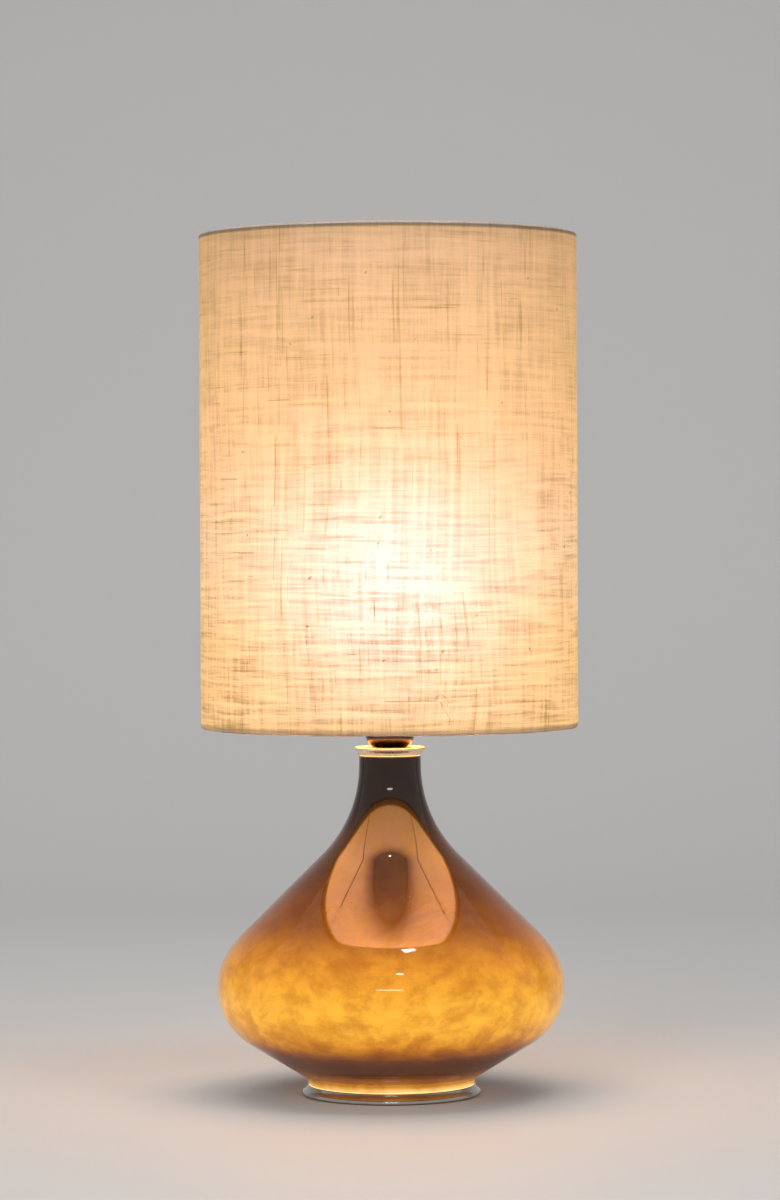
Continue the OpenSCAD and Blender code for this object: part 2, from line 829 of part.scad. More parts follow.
// one lead: up out of the cable, out to the side, and up into its terminal
module holder_lead() {
    wire_bend(lead_foot_x, cable_top_z, lead_bend_r, wire_r, 90, 90);
    translate([lead_foot_x, 0, cable_top_z + lead_bend_r])
        rotate([0, 90, 0]) cylinder(r = wire_r, h = lead_head_x - lead_foot_x);
    wire_bend(lead_head_x, terminal_z, lead_bend_r, wire_r, -90, 90);
}

module holder_leads() {
    color("saddlebrown")
        for (side = [0, 1])
            mirror([side, 0, 0]) holder_lead();
}

// ---- lampholder ----

module holder_cap() {
    shoulder = [holder_r, cap_flare_h];
    color("peru")
        difference() {
            translate([0, 0, collar_top_z])
                revolve(concat(
                    [[rod_hole_r, 0], [cap_foot_r, 0]],
                    bow([cap_foot_r, 0], shoulder, cap_flare_round),
                    [[holder_r, cap_h], [cap_bore_r, cap_h], [cap_bore_r, cap_flare_h]],
                    [[cap_foot_r - cap_wall, cap_floor_t], [rod_hole_r, cap_floor_t]]
                ));
            translate([0, 0, grub_z])
                rotate([-90, 0, 0]) cylinder(r = grub_r + fit_gap, h = holder_r + over);
        }
}

module holder_grub_screw() {
    grub_l = cap_foot_r - rod_hole_r;
    color("dimgray")
        translate([0, rod_hole_r, grub_z])
            rotate([-90, 0, 0])
                difference() {
                    cylinder(r = grub_r, h = grub_l);
                    translate([0, 0, grub_l - grub_r]) cylinder(r = grub_r / 2, h = 2 * grub_r, $fn = 6);
                }
}

module holder_sleeve() {
    color("peru")
        revolve([
            [sleeve_bore_r, cap_top_z - sleeve_spigot_h],
            [sleeve_spigot_r, cap_top_z - sleeve_spigot_h],
            [sleeve_spigot_r, cap_top_z],
            [holder_r, cap_top_z],
            [holder_r, thread_top_z],
            [thread_root_r, thread_top_z + ring_thread_depth],
            [thread_root_r, sleeve_top_z],
            [shell_r + hand_gap, sleeve_top_z],
            [shell_r + hand_gap, core_top_z],
            [sleeve_bore_r, core_top_z],
        ]);
}

module holder_core() {
    color("white")
        difference() {
            translate([0, 0, core_z]) cylinder(r = core_r, h = core_top_z - core_z);
            translate([0, 0, pocket_z]) cylinder(r = shell_r + fit_gap, h = core_top_z - pocket_z + over);
        }
}

module holder_terminals() {
    color("goldenrod")
        for (side = [-1, 1])
            translate([side * terminal_x, 0, terminal_z]) cylinder(r = terminal_r, h = terminal_h);
}

module screw_shell() {
    color("gold") pipe(shell_bore_r, shell_r, pocket_z, core_top_z - shell_drop);
}

module centre_contact() {
    color("gold")
        translate([0, tongue_w / 2, pocket_z])
            rotate([90, 0, 0])
                linear_extrude(tongue_w)
                    polygon(concat(
                        [[-tongue_l, 0], [0, 0]],
                        [[tongue_w / 2, tongue_rise - tongue_t], [tongue_w, tongue_rise - 2 * tongue_t]],
                        [[tongue_w, tongue_rise - tongue_t], [tongue_w / 2, tongue_rise]],
                        [[-tongue_w / 2, tongue_rise], [-tongue_w, tongue_t], [-tongue_l, tongue_t]]
                    ));
}

// ---- shade rings ----

module shade_ring(bore_r, z, h) {
    difference() {
        revolve([
            [bore_r, z],
            [ring_r - ring_chamfer, z],
            [ring_r, z + ring_chamfer],
            [ring_r, z + h - ring_chamfer],
            [ring_r - ring_chamfer, z + h],
            [bore_r, z + h],
        ]);
        around(notch_count, ring_r + notch_r / 2)
            translate([0, 0, z - over]) cylinder(r = notch_r, h = h + 2 * over);
    }
}

module lower_shade_ring() {
    color("peru") shade_ring(holder_r + fit_gap, lower_ring_z, lower_ring_h);
}

module upper_shade_ring() {
    color("peru") shade_ring(holder_r + run_gap, upper_ring_z, upper_ring_h);
}

// ---- shade ----

module wire_circle(z) {
    rotate_extrude() translate([wire_circle_r, z]) circle(r = wire_ring_r);
}

// straight rods from the hub out and down to the shade's lower wire
module spokes(r) {
    around(spoke_count, spoke_foot_r, spoke_angle)
        translate([0, 0, hub_mid_z]) rotate([0, spoke_tilt, 0]) cylinder(r = r, h = spoke_l);
}

module shade_hub() {
    color("silver") pipe(holder_r + hub_gap, hub_r, hub_z, hub_z + hub_t);
}

module shade_fitter() {
    color("silver")
        union() {
            difference() {
                spokes(spoke_r);
                translate([0, 0, hub_mid_z - spoke_l / 2]) cylinder(r = hub_r + fit_gap, h = spoke_l);
            }
            wire_circle(low_wire_z);
        }
}

module top_ring() {
    color("silver") wire_circle(top_wire_z);
}

module shade_liner() {
    color("ivory")
        pipe(turn_in_r, liner_r, low_wire_z + roll_r + fit_gap, top_wire_z - roll_r - fit_gap);
}

// outline of the linen round a wire and up against the liner, from the outer face to the inner one;
// way is 1 for the lower edge and -1 for the upper one
function rolled_edge(z, way) =
    let(
        c = [wire_circle_r, 0],
        meet = acos((turn_in_r - wire_circle_r) / roll_bore_r),
        end = roll_r + turn_in_h,
        points = concat(
            arc(c, roll_r, 0, -270, belly_steps),
            [[turn_in_r - fabric_t, end], [turn_in_r, end]],
            arc(c, roll_bore_r, meet, 360, belly_steps)
        )
    )
    [for (p = points) [p[0], z + way * p[1]]];

module shade_fabric() {
    color("navajowhite")
        difference() {
            union() {
                revolve(concat(rolled_edge(low_wire_z, 1), reversed(rolled_edge(top_wire_z, -1))));
                rotate([0, 0, seam_angle - seam_sweep / 2])
                    rotate_extrude(angle = seam_sweep)
                        translate([shade_r - fabric_t / 2, low_wire_z])
                            square([fabric_t / 2 + seam_t, top_wire_z - low_wire_z]);
            }
            spokes(spoke_r + run_gap);
        }
}

// ---- bulb ----

module bulb_contact() {
    color("silver")
        revolve(concat(
            [[0, bulb_z]],
            bow([contact_r / 2, bulb_z], [contact_r, insulator_z], contact_r),
            [[0, insulator_z]]
        ));
}

module bulb_insulator() {
    color("black")
        translate([0, 0, insulator_z]) cylinder(r1 = contact_r, r2 = insulator_r, h = insulator_h);
}

// round thread of the screw cap, drawn as rings one pitch apart
function screw_outline() =
    let(length = screw_cap_h - 2 * screw_start_h, count = floor(length / screw_pitch) * screw_steps)
    [
        for (i = [0 : count])
            [
                screw_root_r + screw_cap_depth * (1 - cos(360 * i / screw_steps)) / 2,
                screw_cap_z + screw_start_h + screw_pitch * i / screw_steps,
            ]
    ];

module bulb_screw_cap() {
    bore_r = screw_root_r - screw_cap_wall;
    color("silver")
        revolve(concat(
            [[insulator_r - screw_cap_wall, screw_cap_z], [insulator_r, screw_cap_z]],
            screw_outline(),
            [[screw_root_r, screw_cap_top_z], [bore_r, screw_cap_top_z]],
            [[bore_r, screw_cap_z + screw_start_h]]
        ));
}

module bulb_housing() {
    color("white")
        revolve(concat(
            [[0, housing_z], [housing_foot_r, housing_z]],
            bow([housing_foot_r, housing_side_z], dome_foot, -housing_round),
            [[0, dome_foot[1]]]
        ));
}

module bulb_dome() {
    dome_c = [0, dome_z];
    inner_r = dome_r - dome_wall;
    inner_angle = asin(dome_drop / inner_r);
    color("lightyellow")
        revolve(concat(
            arc(dome_c, dome_r, -dome_angle, 90, belly_steps),
            arc(dome_c, inner_r, 90, -inner_angle, belly_steps)
        ));
}

foot_plate();
felt_pad();
bottom_cover();
cover_screws();
cord_grommet();
terminal_block();
terminal_screws();
led_driver();
feed_wires();
led_leads();
threaded_rod();
rod_nut_lower();
lock_washer();
rod_nut_upper();
led_board();
led_chips();
board_screws();
led_diffuser();
foot_gasket();
glass_body();
neck_gasket();
neck_collar();
riser_cable();
holder_leads();
holder_cap();
holder_grub_screw();
holder_sleeve();
holder_core();
holder_terminals();
screw_shell();
centre_contact();
lower_shade_ring();
upper_shade_ring();
shade_hub();
shade_fitter();
top_ring();
shade_liner();
shade_fabric();
bulb_screw_cap();
bulb_insulator();
bulb_contact();
bulb_housing();
bulb_dome();
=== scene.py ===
"""Looks of a table lamp: amber glass body, low metal foot, pale collar and a tall linen drum shade.

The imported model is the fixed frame, in metres: the lamp's axis is +Z and its front faces -Y. Each
sub-assembly is a class that takes its place from the frame, makes its meshes and dresses them. Each
finish is a small frozen class that writes one procedural material.
"""

import json
import logging
import math
from dataclasses import dataclass, field
from enum import Enum
from typing import Any, Mapping, Optional, Sequence, Union

import bmesh
import bpy
import numpy as np
from mathutils import Euler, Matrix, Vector


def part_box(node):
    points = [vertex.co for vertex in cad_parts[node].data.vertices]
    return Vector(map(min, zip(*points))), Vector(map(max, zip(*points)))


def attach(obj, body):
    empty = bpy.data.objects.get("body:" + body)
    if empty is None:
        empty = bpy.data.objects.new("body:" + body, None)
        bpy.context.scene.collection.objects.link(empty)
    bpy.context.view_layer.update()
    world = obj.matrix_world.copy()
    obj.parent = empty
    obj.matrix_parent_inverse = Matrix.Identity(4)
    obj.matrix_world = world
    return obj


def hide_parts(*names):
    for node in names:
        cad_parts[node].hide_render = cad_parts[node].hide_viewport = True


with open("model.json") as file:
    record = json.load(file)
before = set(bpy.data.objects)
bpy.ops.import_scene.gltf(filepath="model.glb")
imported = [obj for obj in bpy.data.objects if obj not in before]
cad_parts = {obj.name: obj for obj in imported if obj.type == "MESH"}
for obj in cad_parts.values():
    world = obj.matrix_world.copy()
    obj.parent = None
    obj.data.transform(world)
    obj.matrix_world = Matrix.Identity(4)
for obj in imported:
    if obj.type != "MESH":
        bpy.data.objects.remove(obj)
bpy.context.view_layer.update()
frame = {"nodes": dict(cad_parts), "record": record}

log = logging.getLogger("lamp")

MM = 0.001
TURN = 2 * math.pi
PALE = (0.47, 0.465, 0.46)
Colour = tuple[float, float, float]
Point = tuple[float, float]
Place = tuple[float, float, float]
Value = Union["Signal", float, int]
Stops = Sequence[tuple[float, Colour]]
Waves = Sequence[tuple[float, int, float, int]]


class Body(Enum):
    """Bodies that the new pieces ride on, by the names that the frame gives them."""

    ROOT = "root"
    SHADE = "shade"
    SHADE_RING = "shade_ring"


class Lay(Enum):
    """Direction of the fine marks that working leaves on metal."""

    TURNED = (0.02, 0.02, 1.0)
    ROLLED = (1.0, 0.06, 1.0)
    EVEN = (1.0, 1.0, 1.0)


# ---- shader maths ----


class Signal:
    """A node socket that takes part in Python arithmetic.

    Args:
        tree: the tree that the socket belongs to.
        socket: the output socket that carries the value.
    """

    def __init__(self, tree: "Tree", socket: bpy.types.NodeSocket) -> None:
        """Keeps the socket together with its tree."""
        self.tree = tree
        self.socket = socket

    def _math(self, operation: str, *terms: Value) -> "Signal":
        """Result of one Math node on the terms."""
        made = self.tree.node("ShaderNodeMath", {"operation": operation}, dict(enumerate(terms)))
        return Signal(self.tree, made.outputs[0])

    def __add__(self, other: Value) -> "Signal":
        """self + other."""
        return self._math("ADD", self, other)

    __radd__ = __add__

    def __sub__(self, other: Value) -> "Signal":
        """self - other."""
        return self._math("SUBTRACT", self, other)

    def __rsub__(self, other: Value) -> "Signal":
        """other - self."""
        return self._math("SUBTRACT", other, self)

    def __mul__(self, other: Value) -> "Signal":
        """self * other."""
        return self._math("MULTIPLY", self, other)

    __rmul__ = __mul__

    def __truediv__(self, other: Value) -> "Signal":
        """self / other."""
        return self._math("DIVIDE", self, other)

    def __pow__(self, other: Value) -> "Signal":
        """self to the power of other."""
        return self._math("POWER", self, other)

    def sine(self) -> "Signal":
        """Sine of the value, in radians."""
        return self._math("SINE", self)

    def cosine(self) -> "Signal":
        """Cosine of the value, in radians."""
        return self._math("COSINE", self)

    def size(self) -> "Signal":
        """The value without its sign."""
        return self._math("ABSOLUTE", self)

    def angle_from(self, across: Value) -> "Signal":
        """Angle of the point (across, self) about the origin, in radians."""
        return self._math("ARCTAN2", self, across)

    def at_least(self, other: Value) -> "Signal":
        """The larger of the two values."""
        return self._math("MAXIMUM", self, other)

    def at_most(self, other: Value) -> "Signal":
        """The smaller of the two values."""
        return self._math("MINIMUM", self, other)

    def _spread(self, kind: str, low: float, high: float, start: float, end: float) -> "Signal":
        """Adds one Map Range node.

        Args:
            kind: how the change runs between its ends.
            low: value at which the change starts.
            high: value at which it ends.
            start: result at and below low.
            end: result at and above high.

        Returns:
            The changed value.
        """
        sockets = {"Value": self, "From Min": low, "From Max": high, "To Min": start, "To Max": end}
        made = self.tree.node("ShaderNodeMapRange", {"interpolation_type": kind}, sockets)
        return Signal(self.tree, made.outputs[0])

    def share(self, low: float, high: float, start: float = 0.0, end: float = 1.0) -> "Signal":
        """Even change from start to end while the value goes from low to high."""
        return self._spread("LINEAR", low, high, start, end)

    def ease(self, low: float, high: float, start: float = 0.0, end: float = 1.0) -> "Signal":
        """Smooth change from start to end while the value goes from low to high."""
        return self._spread("SMOOTHSTEP", low, high, start, end)


class Tree:
    """A node tree while it is being written.

    Args:
        nodes: the tree.
    """

    def __init__(self, nodes: bpy.types.NodeTree) -> None:
        """Keeps the tree that the nodes go into."""
        self.nodes = nodes

    def node(
        self,
        kind: str,
        settings: Optional[Mapping[str, Any]] = None,
        sockets: Optional[Mapping[Union[str, int], Any]] = None,
    ) -> bpy.types.Node:
        """Makes one node.

        Args:
            kind: the node's type.
            settings: its properties, set first; "stops" gives a ramp's places and colours.
            sockets: values or links for its inputs, by name or number.

        Returns:
            The new node.
        """
        made = self.nodes.nodes.new(kind)
        for key, value in (settings or {}).items():
            if key == "stops":
                self._set_stops(made.color_ramp, value)
            else:
                setattr(made, key, value)
        for key, value in (sockets or {}).items():
            self.put(made.inputs[key], value)
        return made

    @staticmethod
    def _set_stops(ramp: bpy.types.ColorRamp, stops: Stops) -> None:
        """Writes a ramp's stops.

        Args:
            ramp: the ramp.
            stops: places from 0 to 1 and their colours.
        """
        while len(ramp.elements) > 1:
            ramp.elements.remove(ramp.elements[-1])
        for number, (place, colour) in enumerate(stops):
            stop = ramp.elements[0] if number == 0 else ramp.elements.new(place)
            stop.position = place
            stop.color = (*colour, 1.0)

    def put(self, socket: bpy.types.NodeSocket, value: Any) -> None:
        """Links a signal to a socket, or sets the socket's own value.

        Args:
            socket: the input.
            value: a signal, an output socket, or a plain value.
        """
        if isinstance(value, Signal):
            self.nodes.links.new(value.socket, socket)
        elif isinstance(value, bpy.types.NodeSocket):
            self.nodes.links.new(value, socket)
        elif socket.type == "RGBA":
            socket.default_value = (*value, 1.0)
        else:
            socket.default_value = value

    def split(self, vector: Signal) -> tuple[Signal, Signal, Signal]:
        """The three numbers of a vector."""
        x, y, z = self.node("ShaderNodeSeparateXYZ", {}, {0: vector}).outputs
        return Signal(self, x), Signal(self, y), Signal(self, z)

    def join(self, x: Value, y: Value, z: Value) -> Signal:
        """A vector from three numbers."""
        return Signal(self, self.node("ShaderNodeCombineXYZ", {}, {0: x, 1: y, 2: z}).outputs[0])

    def vector(self, operation: str, *terms: Any) -> Signal:
        """One Vector Math node."""
        made = self.node("ShaderNodeVectorMath", {"operation": operation}, dict(enumerate(terms)))
        return Signal(self, made.outputs[0])


class Paint(Tree):
    """One material while it is being written."""

    def __init__(self, name: str) -> None:
        """Starts an empty material.

        Args:
            name: its name.
        """
        self.material = bpy.data.materials.new(name)
        self.material.use_nodes = True
        super().__init__(self.material.node_tree)
        self.nodes.nodes.clear()
        self.output = self.node("ShaderNodeOutputMaterial")

    def place(self) -> Signal:
        """Object coordinates, in metres."""
        return Signal(self, self.node("ShaderNodeTexCoord").outputs["Object"])

    def stretch(self, vector: Signal, along: Place) -> Signal:
        """The vector with each number multiplied by its own factor."""
        return self.vector("MULTIPLY", vector, along)

    def noise(
        self,
        vector: Signal,
        scale: float,
        detail: float = 3.0,
        rough: float = 0.5,
    ) -> Signal:
        """Cloudy value between 0 and 1, about 0.5 on average."""
        sockets = {"Vector": vector, "Scale": scale, "Detail": detail, "Roughness": rough}
        return Signal(self, self.node("ShaderNodeTexNoise", {}, sockets).outputs[0])

    def drift(self, vector: Signal, scale: float, reach: float) -> Signal:
        """Moves a vector about by a slow noise.

        Args:
            vector: the vector.
            scale: how fine the noise is, as waves to the metre.
            reach: about four times as far as it moves each way, in metres.

        Returns:
            The moved vector.
        """
        sockets = {"Vector": vector, "Scale": scale, "Detail": 2.0}
        made = self.node("ShaderNodeTexNoise", {}, sockets)
        centred = self.vector("SUBTRACT", Signal(self, made.outputs["Color"]), (0.5, 0.5, 0.5))
        return self.vector("ADD", vector, self.vector("MULTIPLY", centred, (reach, reach, reach)))

    def ramp(self, value: Signal, stops: Stops) -> Signal:
        """Colour from a ramp."""
        made = self.node("ShaderNodeValToRGB", {"stops": stops}, {0: value})
        return Signal(self, made.outputs[0])

    def profile(self, height: Signal, stops: Stops) -> Signal:
        """Colours a surface by its height.

        Args:
            height: the height above the table, in metres.
            stops: heights in millimetres and their colours.

        Returns:
            The colour.
        """
        low, high = stops[0][0], stops[-1][0]
        placed = [((z - low) / (high - low), colour) for z, colour in stops]
        return self.ramp(height.share(low * MM, high * MM), placed)

    def mix(self, factor: Value, first: Any, second: Any) -> Signal:
        """Mixes two colours: the first at 0, the second at 1."""
        made = self.node("ShaderNodeMix", {"data_type": "RGBA"}, {0: factor, 6: first, 7: second})
        return Signal(self, made.outputs[2])

    def tint(self, colour: Signal, by: Signal) -> Signal:
        """One colour times another."""
        return self.vector("MULTIPLY", colour, by)

    def dim(self, colour: Any, factor: Signal) -> Signal:
        """The colour times a number that changes over the surface."""
        return self.vector("MULTIPLY", colour, self.join(factor, factor, factor))

    @staticmethod
    def around(x: Signal, y: Signal) -> Signal:
        """Distance from the lamp's axis, in metres."""
        return (x * x + y * y) ** 0.5

    def bump(self, height: Signal, depth: float) -> Signal:
        """Surface normal from a relief between 0 and 1 that is depth metres deep."""
        made = self.node("ShaderNodeBump", {}, {"Height": height, "Distance": depth})
        return Signal(self, made.outputs[0])

    def back(self) -> Signal:
        """1 on the back of a surface, 0 on its front."""
        return Signal(self, self.node("ShaderNodeNewGeometry").outputs["Backfacing"])

    def close(self, **sockets: Any) -> bpy.types.Material:
        """Ends the material in one Principled shader.

        Args:
            **sockets: the shader's inputs, with _ for each space in a name.

        Returns:
            The finished material.
        """
        named = {key.replace("_", " "): value for key, value in sockets.items()}
        shader = self.node("ShaderNodeBsdfPrincipled", {}, named)
        self.put(self.output.inputs[0], shader.outputs[0])
        return self.material

    def open_behind(self) -> None:
        """Makes the back of the closed material's surface clear to look through."""
        front = self.output.inputs[0].links[0].from_socket
        clear = self.node("ShaderNodeBsdfTransparent").outputs[0]
        seen = Signal(self, self.node("ShaderNodeLightPath").outputs["Is Camera Ray"])
        blend = self.node("ShaderNodeMixShader", {}, {0: self.back() * seen, 1: front, 2: clear})
        self.put(self.output.inputs[0], blend.outputs[0])


# ---- finishes ----


@dataclass(frozen=True)
class Finish:
    """What every finish has.

    Args:
        name: the material's name.
    """

    name: str

    def made(self) -> bpy.types.Material:
        """The finish as a material."""
        raise NotImplementedError


@dataclass(frozen=True)
class Metal(Finish):
    """Worked metal with fine marks, cloudy tone and slight handling wear.

    Args:
        colour: reflected colour.
        dull: roughness of the clean surface.
        lay: direction of the working marks.
        marks: depth of the marks, in metres.
        tarnish: colour that the metal goes to in the cloudy parts.
        coat: weight of a clear lacquer.
        fine: how fine the marks are, as waves to the metre.
        cloudy: the same for the cloudy parts.
        specked: the same for worn specks.
    """

    colour: Colour = (0.62, 0.62, 0.63)
    dull: float = 0.3
    lay: Lay = Lay.EVEN
    marks: float = 6e-6
    tarnish: Colour = (0.4, 0.38, 0.36)
    coat: float = 0.0
    fine: float = 2600.0
    cloudy: float = 90.0
    specked: float = 900.0

    def made(self) -> bpy.types.Material:
        """Writes the metal.

        Returns:
            The material.
        """
        paint = Paint(self.name)
        place = paint.place()
        lines = paint.noise(paint.stretch(place, self.lay.value), self.fine, 2.0, 0.6)
        cloud = paint.noise(place, self.cloudy, 4.0)
        specks = paint.noise(place, self.specked, 2.0)
        tone = paint.mix(cloud.ease(0.45, 0.75, 0.0, 0.35), self.colour, self.tarnish)
        roughness = self.dull + (cloud - 0.5) * (0.35 * self.dull) + specks.ease(0.62, 0.75) * 0.08
        return paint.close(
            Base_Color=tone,
            Metallic=1.0,
            Roughness=roughness.at_least(0.03),
            Normal=paint.bump(lines, self.marks),
            Coat_Weight=self.coat,
            Coat_Roughness=0.05,
        )


@dataclass(frozen=True)
class Moulded(Finish):
    """Plastic, rubber, lacquer or glaze with a fine grain.

    Args:
        colour: main colour.
        dull: roughness.
        grain: how fine the grain is, as waves to the metre.
        relief: depth of the grain, in metres.
        dusty: colour that settles in the cloudy parts.
        coat: weight of a glossy top layer.
        cloudy: how fine the cloudy parts are, as waves to the metre.
    """

    colour: Colour = (0.8, 0.79, 0.75)
    dull: float = 0.45
    grain: float = 1500.0
    relief: float = 2e-5
    dusty: Colour = (0.62, 0.6, 0.56)
    coat: float = 0.0
    cloudy: float = 60.0

    def made(self) -> bpy.types.Material:
        """Writes the plastic.

        Returns:
            The material.
        """
        paint = Paint(self.name)
        place = paint.place()
        cloud = paint.noise(place, self.cloudy, 4.0)
        grain = paint.noise(place, self.grain, 2.0)
        tone = paint.mix(cloud.ease(0.5, 0.8, 0.0, 0.3), self.colour, self.dusty)
        return paint.close(
            Base_Color=paint.dim(tone, grain.share(0.3, 0.7, 0.94, 1.04)),
            Roughness=self.dull + (cloud - 0.5) * 0.18,
            Normal=paint.bump(grain, self.relief),
            Coat_Weight=self.coat,
            Coat_Roughness=0.08,
        )


@dataclass(frozen=True)
class Felt(Finish):
    """Pressed felt with matted fibres.

    Args:
        colour: colour of the fibres.
        fine: how fine the matted fibres are, as waves to the metre.
        brushed: the same for fibres that lie one way.
        relief: depth of the nap, in metres.
    """

    colour: Colour = (0.018, 0.018, 0.02)
    fine: float = 1700.0
    brushed: float = 2400.0
    relief: float = 0.0005

    def made(self) -> bpy.types.Material:
        """Writes the felt.

        Returns:
            The material.
        """
        paint = Paint(self.name)
        place = paint.place()
        matted = paint.noise(paint.drift(place, 500.0, 0.002), self.fine, 5.0, 0.7)
        fibres = paint.noise(paint.stretch(place, (1.0, 0.25, 1.0)), self.brushed, 3.0, 0.7)
        nap = matted * 0.6 + fibres * 0.4
        return paint.close(
            Base_Color=paint.dim(self.colour, nap.share(0.3, 0.7, 0.5, 1.9)),
            Roughness=0.96,
            Sheen_Weight=0.3,
            Sheen_Roughness=0.6,
            Normal=paint.bump(nap, self.relief),
        )


@dataclass(frozen=True)
class AmberGlass(Finish):
    """Cased glass, lit from inside: amber belly, brown shoulder, neck nearly black.

    Args:
        body: colour that the glass has by outside light, by height in millimetres.
        glow: light that comes through it, by height in millimetres.
        dense: what thick clouds in the glass leave of the light.
        thin: what thin places leave of it.
        swirl: how fine the slow drift of the clouds is, as waves to the metre.
        cloud: the same for the clouds.
        wisp: the same for the wisps in them.
        speck: the same for their specks.
        ripple: the same for the slow ripple of the blown surface.
        ragged: how far the clouds pull the colours up and down, in metres.
        bend: refractive index of the polished surface.
    """

    # From about 18 to 45 mm, where the belly turns under, the colour is painted darker: painted
    # shade.
    body: Stops = (
        (9, (0.5, 0.3, 0.1)),
        (13.5, (0.26, 0.12, 0.016)),
        (18, (0.1, 0.032, 0.003)),
        (26, (0.05, 0.014, 0.001)),
        (40, (0.05, 0.014, 0.001)),
        (58, (0.13, 0.05, 0.005)),
        (80, (0.18, 0.072, 0.007)),
        (112, (0.15, 0.055, 0.005)),
        (140, (0.06, 0.02, 0.002)),
        (175, (0.024, 0.009, 0.001)),
        (225, (0.005, 0.003, 0.002)),
        (270, (0.004, 0.0025, 0.0018)),
    )
    # The glow dips from about 22 to 40 mm: painted shade where the belly turns under.
    glow: Stops = (
        (9, (0.95, 0.62, 0.24)),
        (11, (0.8, 0.46, 0.13)),
        (13, (0.56, 0.24, 0.03)),
        (16, (0.38, 0.125, 0.006)),
        (19, (0.28, 0.085, 0.002)),
        (22, (0.18, 0.05, 0.0)),
        (25, (0.07, 0.015, 0.0)),
        (33, (0.05, 0.01, 0.0)),
        (39, (0.11, 0.022, 0.0)),
        (43, (0.25, 0.065, 0.0)),
        (48, (0.45, 0.15, 0.004)),
        (54, (0.66, 0.26, 0.012)),
        (62, (0.79, 0.36, 0.02)),
        (75, (0.84, 0.41, 0.024)),
        (90, (0.78, 0.36, 0.018)),
        (105, (0.66, 0.27, 0.01)),
        (120, (0.52, 0.19, 0.005)),
        (134, (0.29, 0.085, 0.001)),
        (150, (0.17, 0.042, 0.0)),
        (169, (0.1, 0.024, 0.0)),
        (187, (0.07, 0.02, 0.0)),
        (206, (0.045, 0.013, 0.0)),
        (232, (0.004, 0.001, 0.0)),
    )
    dense: Colour = (0.8, 0.68, 0.42)
    thin: Colour = (1.12, 1.13, 1.2)
    swirl: float = 11.0
    cloud: float = 44.0
    wisp: float = 120.0
    speck: float = 480.0
    ripple: float = 16.0
    ragged: float = 0.012
    bend: float = 1.5

    def made(self) -> bpy.types.Material:
        """Writes the glass.

        Returns:
            The material.
        """
        paint = Paint(self.name)
        place = paint.place()
        z = paint.split(place)[2]
        swirl = paint.drift(place, self.swirl, 0.05)
        cloud = paint.noise(paint.stretch(swirl, (1.0, 1.0, 1.3)), self.cloud, 5.0, 0.6)
        wisp = paint.noise(paint.stretch(swirl, (1.0, 1.0, 1.6)), self.wisp, 4.0, 0.6)
        specks = paint.noise(place, self.speck, 3.0, 0.6)
        streaks = wisp.share(0.3, 0.7, 0.93, 1.06) * specks.share(0.3, 0.7, 0.95, 1.04)
        stain = paint.dim(paint.mix(cloud.ease(0.32, 0.66), self.dense, self.thin), streaks)
        ragged = z + (cloud - 0.5) * self.ragged * z.ease(0.03, 0.07)
        ripple = paint.noise(paint.stretch(place, (1.0, 1.0, 0.35)), self.ripple, 1.0)
        return paint.close(
            Base_Color=paint.tint(paint.profile(ragged, self.body), stain),
            Roughness=0.3,
            Specular_IOR_Level=0.0,
            Coat_Weight=1.0,
            Coat_Roughness=0.045,
            Coat_IOR=self.bend,
            Emission_Color=paint.tint(paint.profile(ragged, self.glow), stain),
            Emission_Strength=1.0,
            Normal=paint.bump(ripple, 0.0003),
        )


